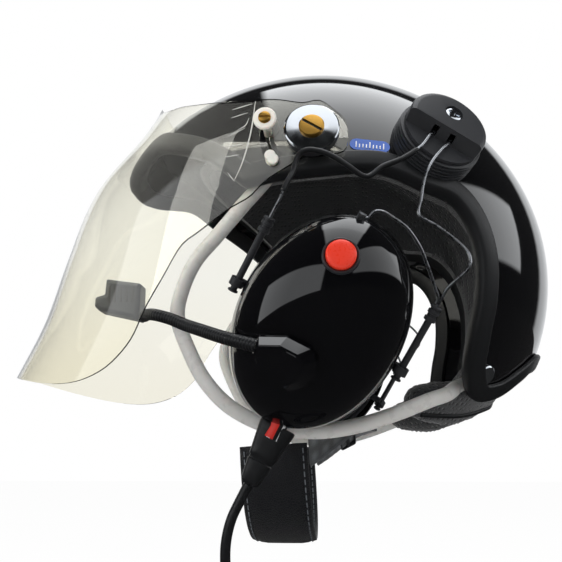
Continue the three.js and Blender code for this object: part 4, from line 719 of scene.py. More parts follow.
def blank_object(name, shape):
    mesh = bpy.data.meshes.new(name)
    points = (shape.points - [0, 0, CROWN]) / 1000
    mesh.from_pydata(points.tolist(), [], shape.faces)
    layer = mesh.uv_layers.new(name="Flat")
    corners = [place for flat in shape.flat for place in flat]
    layer.data.foreach_set("uv", np.array(corners, np.float32).ravel())
    mesh.validate()
    thing = bpy.data.objects.new(name, mesh)
    bpy.context.scene.collection.objects.link(thing)
    return thing


def carved(shape, cutters, operation="DIFFERENCE"):
    """The shape after each cutter is taken from it or, with INTERSECT, what lies in them."""
    body = blank_object("body", shape)
    tools = [blank_object("tool", cutter) for cutter in cutters]
    for tool in tools:
        modifier = body.modifiers.new("Cut", "BOOLEAN")
        modifier.operation = operation
        modifier.object = tool
        modifier.solver = "EXACT"
        modifier.use_self = False
    bpy.context.view_layer.update()
    mesh = bpy.data.meshes.new_from_object(body.evaluated_get(bpy.context.evaluated_depsgraph_get()))
    points = np.empty(len(mesh.vertices) * 3)
    mesh.vertices.foreach_get("co", points)
    result = Shape(
        points.reshape(-1, 3) * 1000 + [0, 0, CROWN], [list(face.vertices) for face in mesh.polygons],
    )
    if not result.faces:
        raise RuntimeError("a cut left nothing")
    for thing in [body, *tools]:
        bpy.data.objects.remove(thing)
    bpy.data.meshes.remove(mesh)
    return result


def piece(name, shape, slot, body, replaces=(), sharp=35, bevel=0.0, normal_of=None):
    """A finished mesh in the row's frame that rides on a body and may stand for CAD nodes."""
    thing = blank_object(name, shape)
    mesh = thing.data
    if normal_of is None:
        work = bmesh.new()
        work.from_mesh(mesh)
        bmesh.ops.recalc_face_normals(work, faces=work.faces)
        work.to_mesh(mesh)
        work.free()
    mesh.shade_smooth()
    mesh.set_sharp_from_angle(angle=math.radians(sharp))
    if normal_of is not None:
        normals = []
        for face in mesh.polygons:
            out = np.array(face.normal)
            for vertex in face.vertices:
                place = np.array(mesh.vertices[vertex].co) * 1000 + [0, 0, CROWN]
                normals.append(normal_of(place, out))
        mesh.normals_split_custom_set([tuple(n) for n in normals])
    if bevel:
        modifier = thing.modifiers.new("Broken edges", "BEVEL")
        modifier.width = bevel / 1000
        modifier.segments = 2
        modifier.limit_method = "ANGLE"
        modifier.angle_limit = math.radians(40)
    mesh.materials.append(finish(slot))
    if replaces:
        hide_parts(*replaces)
    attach(thing, body)
    return thing


def on_both_sides(name, shape, slot, body, replaces=(), **settings):
    """A left piece and its mirror image on the right."""
    things = []
    for side in ("left", "right"):
        own = shape if side == "left" else shape.mirrored()
        own_body = body if body in ("root", "visor") else f"{side}_{body}"
        nodes = [f"{side}_{part}" for part in replaces]
        things.append(piece(f"{side}_{name}", own, slot, own_body, nodes, **settings))
    return things


# The dome and its layers


def ellipsoid(inset, columns=112, rows=56, relief=None):
    half = HALF - inset
    turn = np.linspace(0, 2 * np.pi, columns, endpoint=False)
    rings = []
    for i in range(1, rows):
        tilt = math.pi * i / rows
        ring = np.stack([
            half[0] * math.sin(tilt) * np.cos(turn),
            half[1] * math.sin(tilt) * np.sin(turn),
            np.full(columns, half[2] * math.cos(tilt)),
        ], 1)
        if relief is not None:
            ring = ring * (1 - relief(ring)[:, None] / np.linalg.norm(ring, axis=1)[:, None])
        rings.append(ring)
    return loft(rings[::-1], tips=[(0, 0, -half[2]), (0, 0, half[2])])


def dome_normal(place, sign=1):
    return sign * unit(place / HALF ** 2)


def flat_curve(shares, spacing):
    return smooth_route([(x * HALF[0], z * HALF[2], 0) for x, z in shares], spacing)[:, :2]


def opening_edge(spacing=3.0):
    return np.vstack([flat_curve(BROW, spacing), flat_curve(ARCH, spacing)[1:]])


def moved_edge(distance):
    edge = opening_edge()
    way = np.gradient(edge, axis=0)
    way /= np.linalg.norm(way, axis=1)[:, None]
    moved = edge + np.stack([-way[:, 1], way[:, 0]], 1) * distance
    near = np.min(np.linalg.norm(moved[:, None] - opening_edge(1.0)[None], axis=2), axis=1)
    return moved[near > abs(distance) * 0.97 - 0.05]


def across(outline, half_width=150.0):
    """A side view run right across the helmet."""
    outline = np.asarray(outline, float)
    rings = [
        np.column_stack([outline[:, 0], np.full(len(outline), y), outline[:, 1]])
        for y in (-half_width, half_width)
    ]
    shape = loft(rings)
    return shape if signed_area(outline) < 0 else shape.reversed()


def opening(distance):
    edge = moved_edge(distance)
    return across(np.vstack([edge, [edge[-1][0], -190], [edge[0][0], -190]]))


def layer(outer, inner, setback, relief=None, **facets):
    walls = joined(ellipsoid(outer, **facets), ellipsoid(inner, relief=relief, **facets).reversed())
    return carved(walls, [opening(setback)])


def make_shell():
    def normal_of(place, out):
        field = dome_normal(place)
        facing = np.dot(field, out)
        return field if facing > 0.8 else (-field if facing < -0.8 else out)

    piece("shell_dome", layer(0, WALL, 0.5), "shell_gloss", "root", ["shell"], normal_of=normal_of)
    inset = WALL + GAP
    piece(
        "foam_liner", layer(inset, inset + LINER, 12.5, columns=72, rows=36), "polystyrene", "root",
        ["eps_liner"], sharp=50,
    )


def edge_loop(spacing):
    """The edge of the opening on the dome, from the brow round the left side to the nape and back."""
    edge = opening_edge(0.5)
    share = 1 - (edge[:, 0] / HALF[0]) ** 2 - (edge[:, 1] / HALF[2]) ** 2
    inside = share > 0
    edge, share = edge[inside], share[inside]
    left = np.column_stack([edge[:, 0], -HALF[1] * np.sqrt(share), edge[:, 1]])
    loop = np.vstack([left, (left * [1, -1, 1])[::-1], left[:1]])
    return evenly(loop, spacing)[:-1]


def make_trim():
    details = bpy.context.scene.helmet_details
    lap, thick = details.trim_lap, details.trim_thick
    section = [
        (lap, 0.25), (lap + 0.2, thick * 0.55), (lap - 0.5, thick + 0.1), (lap - 1.2, thick + 0.25),
        (lap * 0.45, thick + 0.35), (0.8, thick + 0.2), (-0.8, thick * 0.85), (-1.9, thick * 0.3),
        (-2.3, -WALL * 0.5), (-1.9, -WALL - thick * 0.3), (-0.8, -WALL - thick * 0.85),
        (lap * 0.45, -WALL - thick - 0.2), (lap - 0.5, -WALL - thick), (lap + 0.2, -WALL - thick * 0.5),
        (lap, -WALL - 0.2), (2, -WALL - 0.2), (2, 0.2),
    ]
    loop = edge_loop(2.2)
    count = len(loop)
    along = np.roll(loop, -2, 0) - np.roll(loop, 2, 0)
    rings = []
    for i in range(count):
        normal = unit(loop[i] / HALF ** 2)
        inner = unit(np.cross(normal, along[i]))
        rings.append(np.array([loop[i] + m * inner + n * normal for m, n in section]))
    piece("trim_edge", loft(rings, round_way=True), "trim_rubber", "root", ["edge_trim"], sharp=50)


def make_lining():
    depth = bpy.context.scene.helmet_details.seam

    def channels(ring):
        """Depth of the sewn channels: two from front to back, one round the sides."""
        seams = [
            np.abs(np.abs(ring[:, 1]) - 34), np.abs(ring[:, 2] - 8) + (np.abs(ring[:, 1]) < 34) * 99,
            np.abs(ring[:, 0] - 20) + (np.abs(ring[:, 1]) < 34) * 99,
        ]
        distance = np.min(seams, axis=0)
        return depth * (np.clip(1 - distance / 7, 0, 1) ** 2) - depth * 0.35

    inset = WALL + LINER + GAP * 2
    pads = layer(
        inset, inset + LINING - depth * 0.4, 10, relief=lambda r: -channels(r), columns=96, rows=48,
    )
    lining = piece("lining_pads", pads, "lining_cloth", "root", ["comfort_lining"], sharp=50)


def make_neck_roll():
    rings, edge = [], []
    steps, sides = 110, 28
    limit = HALF - (WALL + 3.4)
    for i in range(steps + 1):
        share = i / steps * 2 - 1
        angle = math.radians(share * 60)
        t = min(abs(share) / 0.72, 1)
        drop = t * t * (3 - 2 * t)
        height = (-0.469 * (1 - drop) - 0.6 * drop) * HALF[2]
        centre = np.array([0.693 * HALF[0] * math.cos(angle), 0.638 * HALF[1] * math.sin(angle), height])
        radius = 5 + 8 * math.sqrt(max(1 - abs(share) ** 6, 0))
        outward = np.array([math.cos(angle), math.sin(angle), 0])
        turn = np.linspace(0, 2 * np.pi, sides, endpoint=False)
        ribs = 0.45 * np.sin(share * 150 + turn * 3)
        ring = centre + (radius - 0.6 + ribs)[
            :, None,
        ] * (np.cos(turn)[:, None] * outward + np.sin(turn)[:, None] * np.array([0, 0, 1.0]))
        over = np.sqrt(np.sum((ring / limit) ** 2, axis=1))
        ring = ring / np.maximum(over, 1)[:, None]
        rings.append(ring)
        bead_way = math.cos(BEAD_AT) * outward + math.sin(BEAD_AT) * np.array([0, 0, 1.0])
        edge.append(centre + (radius - 0.4) * bead_way)
    roll = piece("neck_padding", loft(rings), "lining_cloth", "root", ["neck_roll"], sharp=60)
    piping = np.array(edge)
    piping /= np.maximum(np.sqrt(np.sum((piping / limit) ** 2, axis=1)), 1)[:, None]
    piece("neck_piping", tube(piping[3:-3], lambda share: 1.3, 10), "trim_rubber", "root", sharp=60)


# Visor and its pivots


def value_at(shares, height):
    """Smooth curve through (height, value) pairs."""
    last = len(shares) - 1
    at = min(max(height, shares[0][0]), shares[last][0])
    i = 1
    while i < last and shares[i][0] < at:
        i += 1
    (h0, v0), (h1, v1) = shares[i - 1], shares[i]

    def slope(k):
        a, b = shares[max(k - 1, 0)], shares[min(k + 1, last)]
        return (b[1] - a[1]) / (b[0] - a[0])

    span = h1 - h0
    t = (at - h0) / span
    eased = (v1 - v0) * (3 * t * t - 2 * t ** 3)
    return v0 + eased + span * (slope(i - 1) * t * (1 - t) ** 2 - slope(i) * t * t * (1 - t))


PIVOT_SHARE = (0.0057, 0.391)
PIVOT = np.array([PIVOT_SHARE[0] * HALF[0], PIVOT_SHARE[1] * HALF[2]])
VISOR_Y = value_at(VISOR_WIDTH, PIVOT_SHARE[1]) * HALF[1]
DISC_Y = VISOR_Y + DISC_OFF


def visor_halves(z):
    """Half the visor's length and half its width at a height."""
    share = z / HALF[2]
    return value_at(VISOR_REACH, share) * HALF[0], value_at(VISOR_WIDTH, share) * HALF[1]


def visor_skin(inset, columns=120, rows=44):
    low, high = VISOR_REACH[0][0] * HALF[2], VISOR_REACH[-1][0] * HALF[2]
    turn = np.linspace(0, 2 * np.pi, columns, endpoint=False)
    rings = []
    for i in range(rows + 1):
        z = low + (high - low) * i / rows
        reach, wide = (half - inset for half in visor_halves(z))
        rings.append(np.stack([np.cos(turn) * reach, np.sin(turn) * wide, np.full(columns, z)], 1))
    return loft(rings)


def on_slot(angle):
    """The place in side view on the middle line of the visor's arc slot."""
    return PIVOT + SLOT_REACH * np.array([math.cos(angle), math.sin(angle)])


def arc_slot():
    points = []
    half = SLOT_WIDE / 2
    start, stop = math.radians(KNOB_AT), math.radians(STOP_AT)

    def arc(centre, radius, low, high, steps=14):
        for t in np.linspace(low, high, steps + 1):
            points.append((centre[0] + radius * math.cos(t), centre[1] + radius * math.sin(t)))

    arc(PIVOT, SLOT_REACH + half, start, stop)
    arc(on_slot(stop), half, stop, stop + math.pi)
    arc(PIVOT, SLOT_REACH - half, stop, start)
    arc(on_slot(start), half, start + math.pi, start + 2 * math.pi)
    return points


def circle(centre, radius, sides=32):
    turn = np.linspace(0, 2 * np.pi, sides, endpoint=False)
    return np.column_stack([centre[0] + radius * np.cos(turn), centre[1] + radius * np.sin(turn)])


def visor_y(x, z):
    """How far out the visor's outer face is at a place in side view."""
    reach, wide = visor_halves(z)
    return wide * math.sqrt(max(1 - (x / reach) ** 2, 0))


def make_visor():
    top = flat_curve(VISOR_TOP, 3.0)
    low = flat_curve(VISOR_LOW, 4.0)[1:]
    outline = np.vstack([top, low, [[low[-1][0], top[0][1]]]])
    sheet = carved(visor_skin(0), [visor_skin(VISOR_SHEET)])
    sheet = carved(sheet, [across(outline)], "INTERSECT")
    sheet = carved(sheet, [across(arc_slot()), across(circle(PIVOT, 3.3))])

    def field(place):
        x, y, z = place
        reach, wide = visor_halves(z)
        return (x / reach) ** 2 + (y / wide) ** 2

    def normal_of(place, out):
        step = 0.5
        slope = unit([field(place + step * axis) - field(place - step * axis) for axis in np.eye(3)])
        facing = np.dot(slope, out)
        return slope if facing > 0.85 else (-slope if facing < -0.85 else out)

    piece("visor_sheet", sheet, "visor_clear", "visor", ["visor"], normal_of=normal_of)
    lines = []
    for points, radius in CREASES:
        route = smooth_route([(x, z, 0) for x, z in points], 1.5)
        place = np.array([(x, -visor_y(x, z) - 0.05, z) for x, z, _ in route])
        lines.append(tube(place, lambda share, r=radius: r * (0.35 + 0.65 * math.sin(math.pi * share)), 8))
    piece("visor_creases", joined(*lines), "scored_plastic", "visor", sharp=60)


def turn_about_z(angle):
    return placed(
        (0, 0, 0), (math.cos(angle), math.sin(angle), 0), (-math.sin(angle), math.cos(angle), 0), (0, 0, 1),
    )


def side_way(tilt):
    """Out of the wearer's left side, tipped up by an angle."""
    return np.array([0, -math.cos(math.radians(tilt)), math.sin(math.radians(tilt))])


def make_pivots():
    disc = turned_to((PIVOT[0], -DISC_Y, PIVOT[1]), side_way(DISC_TILT))
    level = turned_to((PIVOT[0], 0, PIVOT[1]), side_way(0))
    foot, inside = 92.8, VISOR_Y - VISOR_SHEET
    boss = turned([(0, foot), (9, foot), (9, inside - 1.9), (8.4, inside - 1.6), (0, inside - 1.6)])
    on_both_sides("pivot_seat", boss.moved(level), "fitting_black", "root", ["pivot_boss"])
    rim = circle((0, 0), WASHER, 64)
    low = Shape(np.column_stack([rim, np.full(len(rim), VISOR_Y + GAP)]), []).moved(level).points
    high = Shape(np.column_stack([rim, np.full(len(rim), -0.1)]), []).moved(disc).points
    high[:, 1] = np.minimum(high[:, 1], -VISOR_Y - GAP - 0.02)
    on_both_sides(
        "pivot_wedge", loft([low, low * 0.02 + high * 0.98, high]), "fitting_black", "root",
        ["pivot_washer"],
    )
    plate = turned([
        (0, 0.15), (DISC - 0.6, 0.15), (DISC - 0.1, 0.4), (DISC, 0.9), (DISC - 0.15, 1.45),
        (DISC - 0.7, 1.85), (DISC - 1.6, DISC_THICK), (0, DISC_THICK),
    ], 80)
    on_both_sides("pivot_plate", plate.moved(disc), "chrome", "root", ["pivot_disc"], sharp=15)
    head = turned([(0, 2.0), (6.3, 2.0), (6.5, 2.25), (6.5, 3.1), (6.1, 3.65), (5.2, 3.9), (0, 3.95)], 48)
    spin = math.radians(-35)
    slot = slab(rounded(14, 0.75, 0.1, 1), 3.0, 6).moved(turn_about_z(spin))
    on_both_sides(
        "pivot_bolt", carved(head.moved(disc), [slot.moved(disc)]), "brass", "root", ["pivot_screw"],
        bevel=0.12,
    )
    # A black sheet at the bottom of the screw's slot: painted shade in the slot
    floor = slab(rounded(5.9, 0.7, 0.1, 1), 2.9, 3.1).moved(turn_about_z(spin))
    on_both_sides("pivot_slot_shade", floor.moved(disc), "lead_rubber", "root")

    turn = math.radians(KNOB_AT)
    x, z = on_slot(turn)
    seat = visor_y(x + KNOB_COLLAR, z) + GAP * 2
    knob = turned([
        (0, 96), (2.2, 96), (2.2, seat), (KNOB_COLLAR - 0.2, seat), (KNOB_COLLAR, seat + 0.3),
        (KNOB_COLLAR, seat + 2.5), (5.4, seat + 2.8), (6, seat + 3.4), (6, seat + 4.6), (5.5, seat + 5.2),
        (4.2, seat + 5.4), (0, seat + 5.4),
    ], 40)
    place = turned_to((x, 0, z), side_way(0))
    on_both_sides("knob_body", knob.moved(place), "white_nylon", "root", ["visor_knob"])
    screw = turned(
        [
            (0, seat + 5.3), (3.25, seat + 5.3), (3.25, seat + 5.9), (2.7, seat + 6.35), (1.5, seat + 6.55),
            (0, seat + 6.6),
        ],
        32,
    )
    cut = slab(rounded(6, 0.45, 0.05, 1), seat + 5.95, seat + 9)
    on_both_sides("knob_screw", carved(screw.moved(place), [cut.moved(place)]), "brass", "root", bevel=0.08)

    turn = math.radians(STOP_AT)
    x, z = on_slot(turn)
    seat = visor_y(x, z)
    lobes = []
    for side in (-1, 1):
        angle = turn + side * 1.26 / SLOT_REACH
        lobe = turned([(0, 0.3), (2.7, 0.3), (2.9, 0.6), (2.9, 1.8), (2.5, 2.3), (1.2, 2.5), (0, 2.5)], 32)
        centre = on_slot(angle)
        lobes.append(lobe.moved(turned_to((centre[0], -seat, centre[1]), side_way(0))))
    foot = turned([(0, -3.2), (3.3, -3.2), (3.3, -2.4), (2.2, -2.4), (2.2, 0.5), (0, 0.5)], 28)
    lobes.append(foot.moved(turned_to((x, -seat, z), side_way(0))))
    on_both_sides("stop_clip", joined(*lobes), "white_nylon", "visor", ["slot_stop"])


# Hoops, rivets and pucks


def make_hoops():
    route = smooth_route(in_dome(HOOP_ROUTE), 2.2)
    on_both_sides("hoop_tube", tube(route, lambda share: HOOP, 20), "hoop_grey", "root", ["hoop"])
    share = in_dome(RIVET)
    seat = share / np.linalg.norm(RIVET)
    way = unit(np.asarray(RIVET) / HALF)
    head = turned([
        (0, -7), (2, -7), (2, 0.4), (5.2, 0.4), (5.4, 0.7), (5.4, 1.1), (5.0, 1.6), (4.4, 1.95), (3.4, 2.1),
        (2.9, 1.95), (2.5, 1.7), (0, 1.65),
    ], 48)
    on_both_sides("rivet_cap", head.moved(turned_to(seat, way)), "chrome", "root", ["strap_rivet"])


def puck_frame():
    z = unit((0.395, -0.846, 0.358))
    drop = np.array([-0.355, -0.5, -0.79])
    y = -unit(drop - z * np.dot(drop, z))
    return placed(in_dome((0.456, -0.799, 0.391)), np.cross(y, z), y, z)


def make_pucks():
    threads = bpy.context.scene.helmet_details.threads
    frame_of = puck_frame()
    profile = [(0, -5), (PUCK_BASE - 0.4, -5)]
    pitch = PUCK_HIGH / (threads + 0.6)
    for i in range(threads):
        low = pitch * (i + 0.35)
        profile += [
            (PUCK_BASE, low), (PUCK_BASE, low + pitch * 0.4), (PUCK_BASE - 1.0, low + pitch * 0.52),
            (PUCK_BASE - 1.0, low + pitch * 0.86),
        ]
    profile += [(PUCK_BASE - 0.2, PUCK_HIGH - 0.3), (PUCK_BASE - 0.8, PUCK_HIGH), (0, PUCK_HIGH)]
    on_both_sides("puck_foot", turned(profile, 72).moved(frame_of), "fitting_black", "root", ["puck_base"])

    low = PUCK_HIGH + GAP
    high = low + CAP_HIGH
    rim = low + 2.0
    body = turned([
        (0, low), (CAP_RADIUS - 0.3, low), (CAP_RADIUS, low + 0.3), (CAP_RADIUS, high - CAP_CHAMFER),
        (CAP_RADIUS - 0.5, high - 0.9), (CAP_RADIUS - CAP_CHAMFER, high - 0.15),
        (CAP_RADIUS - CAP_CHAMFER - 1, high), (0, high),
    ], 80)
    start = -5 - 0.42 * 7.5
    wedge = Shape(np.array([
        (-60, start, rim), (60, start, rim), (60, start + 0.42 * 20, rim + 20),
        (-60, start + 0.42 * 20, rim + 20), (-60, -60, rim), (60, -60, rim), (60, -60, rim + 20),
        (-60, -60, rim + 20),
    ]), [(3, 2, 1, 0), (6, 7, 4, 5), (7, 3, 0, 4), (2, 6, 5, 1), (7, 6, 2, 3), (0, 1, 5, 4)])
    bore_z = low + WIRE_BORE
    slots = []
    for side in (-1, 1):
        box = slab(
            [
                (side * WIRE_SLOT - 1.6, -CAP_RADIUS), (side * WIRE_SLOT + 1.6, -CAP_RADIUS),
                (side * WIRE_SLOT + 1.6, 0.2), (side * WIRE_SLOT - 1.6, 0.2),
            ],
            bore_z - 1.1, high - CAP_CHAMFER,
        )
        slots.append(box)
    recess = turned(
        [(0, high - 2.5), (5, high - 2.5), (5.3, high + 4), (0, high + 4)], 40,
    ).moved(shifted(0, CAP_SCREW_AT, 0))
    cap = carved(body, [wedge, *slots, recess])
    on_both_sides(
        "puck_lid", cap.moved(frame_of), "fitting_black", "cap", ["puck_cap"], bevel=0.35, sharp=30,
    )

    base = high - 2.2
    head = turned(
        [(0, base), (4.6, base), (4.7, base + 0.3), (4.5, base + 1.3), (3.6, base + 1.75), (0, base + 1.8)],
        40,
    )
    arms = [
        slab(rounded(3.2, 0.7, 0.2, 2), base + 0.7, base + 4),
        slab(rounded(0.7, 3.2, 0.2, 2), base + 0.7, base + 4),
    ]
    screw = carved(head, arms).moved(shifted(0, CAP_SCREW_AT, 0))
    on_both_sides("puck_bolt", screw.moved(frame_of), "chrome", "cap", ["puck_screw"])


# Ear cups


def cup_frame():
    z = unit((-0.06, -0.931, -0.36))
    y = np.array([0.4867, -0.3427, 0.8039])
    y = unit(y - z * np.dot(y, z))
    return placed(in_dome((0.0254, -0.9595, -0.338)), np.cross(y, z), y, z)


def from_frame(matrix, x, y, z):
    return matrix[:3, :3] @ np.array([x, y, z]) + matrix[:3, 3]


def bulge_height(x, y):
    share = math.hypot(x / CUP_WIDE, y / CUP_LONG)
    return CUP_DEEP * max(1 - share ** CUP_POWER, 0) ** (1 / CUP_POWER)


def bulge_normal(x, y):
    share = math.hypot(x / CUP_WIDE, y / CUP_LONG) ** (CUP_POWER - 2)
    out = bulge_height(x, y) ** (CUP_POWER - 1) / CUP_DEEP ** CUP_POWER
    return unit((share * x / CUP_WIDE ** 2, share * y / CUP_LONG ** 2, out))


def ellipse(wide, long, height, sides=112):
    turn = np.linspace(0, 2 * np.pi, sides, endpoint=False)
    return np.stack([wide * np.cos(turn), long * np.sin(turn), np.full(sides, height)], 1)


def cup_bulge():
    depth = bpy.context.scene.helmet_details.groove
    rings = [
        ellipse(CUP_WIDE - 1.5, CUP_LONG - 1.5, 0.1), ellipse(CUP_WIDE - 0.25, CUP_LONG - 0.25, 0.1),
        ellipse(CUP_WIDE, CUP_LONG, 0.4),
    ]

    def ring(height, draw=0.0):
        share = max(1 - (height / CUP_DEEP) ** CUP_POWER, 0) ** (1 / CUP_POWER)
        rings.append(ellipse(CUP_WIDE * share - draw, CUP_LONG * share - draw, height))

    for start in (2.4, 4.6, 6.8):
        for offset, draw in ((-0.55, 0), (-0.3, 0.12), (-0.15, 0.85), (0.15, 0.85), (0.3, 0.12), (0.55, 0)):
            ring(start + offset, draw * depth)
    for t in np.linspace(0.235, 0.985, 34):
        ring(CUP_DEEP * math.sin(t * math.pi / 2) ** (2 / CUP_POWER) if t > 0.3 else 7.6 + (t - 0.235) * 45)
    rings.sort(key=lambda r: r[0][2])
    return loft(rings, tips=[(0, 0, 0.1), (0, 0, CUP_DEEP)])


def make_cups():
    cup = cup_frame()
    for side in ("left", "right"):
        shapes = [cup_bulge()]
        if side == "left":
            ring = turned([(0, -2), (9.5, -2), (9.5, 0.9), (9.1, 1.2), (0, 1.2)], 48)
            shapes.append(ring.moved(boom_frame(local=True)))
        shape = joined(*shapes).moved(cup)
        piece(
            f"{side}_cup_dome", shape if side == "left" else shape.mirrored(), "cup_gloss", f"{side}_cup",
            [f"{side}_cup_shell"], sharp=28,
        )
    low = -5.3
    wide, long = CUP_WIDE - 3, CUP_LONG - 3
    plate = [loft([
        ellipse(17, 17, low), ellipse(
            wide - 0.5, long - 0.5, low,
        ), ellipse(wide, long, low + 0.5), ellipse(wide, long, -0.8),
        ellipse(wide - 0.5, long - 0.5, -GAP), ellipse(17, 17, -GAP),
    ], round_way=True)]
    for side in (-1, 1):
        near, far = sorted((side * (wide - 6), side * SLEEVE_SPREAD))
        plate.append(slab([(near, -4), (far, -4), (far, 0), (near, 0)], low, low + 3, 0.3))
        eye = turned([(2.15, -2), (3.7, -2), (3.7, 2), (2.15, 2)], 32)
        plate.append(eye.moved(placed((side * SLEEVE_SPREAD, -2, 0), (1, 0, 0), (0, 0, 1), (0, -1, 0))))
    on_both_sides("cup_back", joined(*plate).moved(cup), "fitting_black", "cup", ["cup_plate"])

    rings = []
    top = -5.6
    mid_x, mid_y = CUP_WIDE - 4 - 8.5, CUP_LONG - 4 - 8.5
    section = [
        (-0.4, 0), (-0.47, 0.1), (-0.49, 0.3), (-0.47, 0.52), (-0.42, 0.7), (-0.34, 0.84), (-0.24, 0.94),
        (-0.12, 0.99), (0, 1.0), (0.12, 0.99), (0.24, 0.94), (0.34, 0.84), (0.42, 0.7), (0.47, 0.52),
        (0.49, 0.33), (0.465, 0.24), (0.49, 0.15), (0.47, 0.06), (0.4, 0),
    ]
    sides = 150
    for i in range(sides):
        turn = i / sides * 2 * math.pi
        middle = np.array([mid_x * math.cos(turn), mid_y * math.sin(turn), top])
        out = unit((math.cos(turn) / mid_x, math.sin(turn) / mid_y, 0))
        pucker = 1 + 0.012 * math.sin(turn * 19) + 0.008 * math.sin(turn * 43 + 1)
        rings.append([
            middle + w * 16.6 * out * (pucker if h < 0.4 else 1) - np.array([0, 0, h * 15.8 * (2 - pucker)])
            for w, h in section
        ])
    cushion = on_both_sides(
        "cushion", loft(rings, round_way=True).moved(cup), "cushion_leather", "cup", ["ear_cushion"],
        sharp=60,
    )
    cover = turned([(0, -6.6), (12, -6.5), (20, -6.1), (24, -5.7), (24, -5.5), (0, -5.6)], 64)
    on_both_sides("ear_cloth", cover.moved(cup), "lining_cloth", "cup", sharp=60)
    driver = turned([(0, 0.4), (20.8, 0.4), (20.8, 3.2), (12, 9.2), (12, 15.2), (0, 15.2)], 40)
    on_both_sides("driver", driver.moved(cup), "fitting_black", "cup", ["speaker"])


def sleeve_at(side):
    cup = cup_frame()
    body = turned([
        (1.2, SLEEVE_LOW - 1.2), (2.5, SLEEVE_LOW - 1.2), (2.7, SLEEVE_LOW - 1), (2.7, SLEEVE_LOW - 0.5),
        (2.5, SLEEVE_LOW - 0.3), (SLEEVE_OUT, SLEEVE_LOW - 0.3), (SLEEVE_OUT, 26), (2.7, 26), (3, 26.3),
        (3, 28), (2.4, 28.2), (2.4, 29.8), (3, 30), (3, 31.8), (2.4, 32), (2.4, 32.6), (2.9, 32.8),
        (2.9, 33.7), (2.6, 34), (1.2, 34),
    ], 32)
    return body.moved(placed((side * SLEEVE_SPREAD, 0, 0), (1, 0, 0), (0, 0, -1), (0, 1, 0))).moved(cup)


def wire_start(side):
    puck = puck_frame()
    bore = PUCK_HIGH + GAP + WIRE_BORE
    return [
        from_frame(puck, side * 9.7, -1, bore), from_frame(puck, side * (WIRE_SLOT + WIRE * 2), -1, bore),
        from_frame(
            puck, side * (WIRE_SLOT + WIRE * 0.6), -1 - WIRE * 0.6, bore,
        ), from_frame(puck, side * WIRE_SLOT, -1 - WIRE * 2.4, bore),
        from_frame(puck, side * WIRE_SLOT, -5 - CAP_HIGH / 2, bore + WIRE),
    ]


def wire_end(side):
    cup = cup_frame()
    x = side * SLEEVE_SPREAD
    heights = [
        SLEEVE_HIGH + SLIDE, SLEEVE_HIGH + SLIDE / 2, SLEEVE_HIGH, (SLEEVE_HIGH + SLEEVE_LOW) / 2,
        SLEEVE_LOW + SLIDE,
    ]
    return [from_frame(cup, x, y, 0) for y in heights]


def make_wires():
    route = smooth_route(wire_start(-1) + list(in_dome(FRONT_WIRE)) + wire_end(-1), 1.0)
    length = len(route)
    on_both_sides("front_spring", tube(route, lambda share: WIRE, 12), "steel_wire", "arm", ["front_wire"])
    sheath = route[int(31.8 / 1.0):int(length * 0.74)]
    on_both_sides(
        "front_sheath", tube(sheath, lambda share: SHEATH - 0.25 * (abs(share - 0.5) > 0.49), 14),
        "lead_rubber", "arm",
    )
    route = smooth_route(wire_start(1) + list(in_dome(REAR_WIRE)) + wire_end(1), 1.0)
    on_both_sides("rear_spring", tube(route, lambda share: WIRE, 12), "steel_wire", "arm", ["rear_wire"])
    on_both_sides("front_guide", sleeve_at(-1), "fitting_black", "cup", ["front_sleeve"], sharp=40)
    on_both_sides("rear_guide", sleeve_at(1), "fitting_black", "cup", ["rear_sleeve"], sharp=40)
    cup = cup_frame()
    x, y = -0.165 * CUP_WIDE, 0.985 * CUP_LONG
    reach = SLEEVE_HIGH + GAP + WIRE
    end = [
        from_frame(cup, SLEEVE_SPREAD - WIRE * 2, reach + WIRE * 3, WIRE * 2.4),
        from_frame(cup, SLEEVE_SPREAD - WIRE * 2, reach, WIRE * 2.4),
    ]
    spring = tube(
        smooth_route([from_frame(cup, x, y, 6)] + list(in_dome(BAIL)) + end, 1.0), lambda share: WIRE, 12,
    )
    clip = slab([(x - 2, y - 5), (x + 2, y - 5), (x + 2, y + 2), (x - 2, y + 2)], 2, 9.4, 0.5).moved(cup)
    on_both_sides("bail_spring", joined(spring, clip), "steel_wire", "cup", ["bail"])


# Talk button, boom and microphone


def make_button():
    x, y = -0.155 * CUP_WIDE, 0.657 * CUP_LONG
    seat = cup_frame() @ turned_to((x, y, bulge_height(x, y)), bulge_normal(x, y))
    bezel = turned([
        (0, -4), (7.3, -4), (7.3, 0.9), (7.6, 1.25), (8.1, 1.45), (8.55, 1.2), (8.75, 0.6), (8.75, -5.6),
        (0, -5.6),
    ][::-1], 64)
    piece("button_ring", bezel.moved(seat), "fitting_black", "left_cup", ["button_bezel"])
    cap = turned([
        (0, -1.7), (7, -1.7), (7, 2.6), (6.85, 3.05), (6.4, 3.45), (5.6, 3.72), (4.2, 3.9), (2, 3.98),
        (0, 4.0),
    ], 64)
    piece("button_cap", cap.moved(seat), "button_red", "talk_button", ["talk_button"])


def boom_frame(local=False):
    x, y = -0.073 * CUP_WIDE, -0.286 * CUP_LONG
    z = unit((-0.05, -0.144, 0.988))
    axis = np.cross((0, 0, 1), z)
    angle = math.asin(min(np.linalg.norm(axis), 1))
    turn = np.array(Matrix.Rotation(angle, 3, Vector(unit(axis))))
    seat = placed((x, y, bulge_height(x, y)), turn[:, 0], turn[:, 1], turn[:, 2])
    return seat if local else cup_frame() @ seat


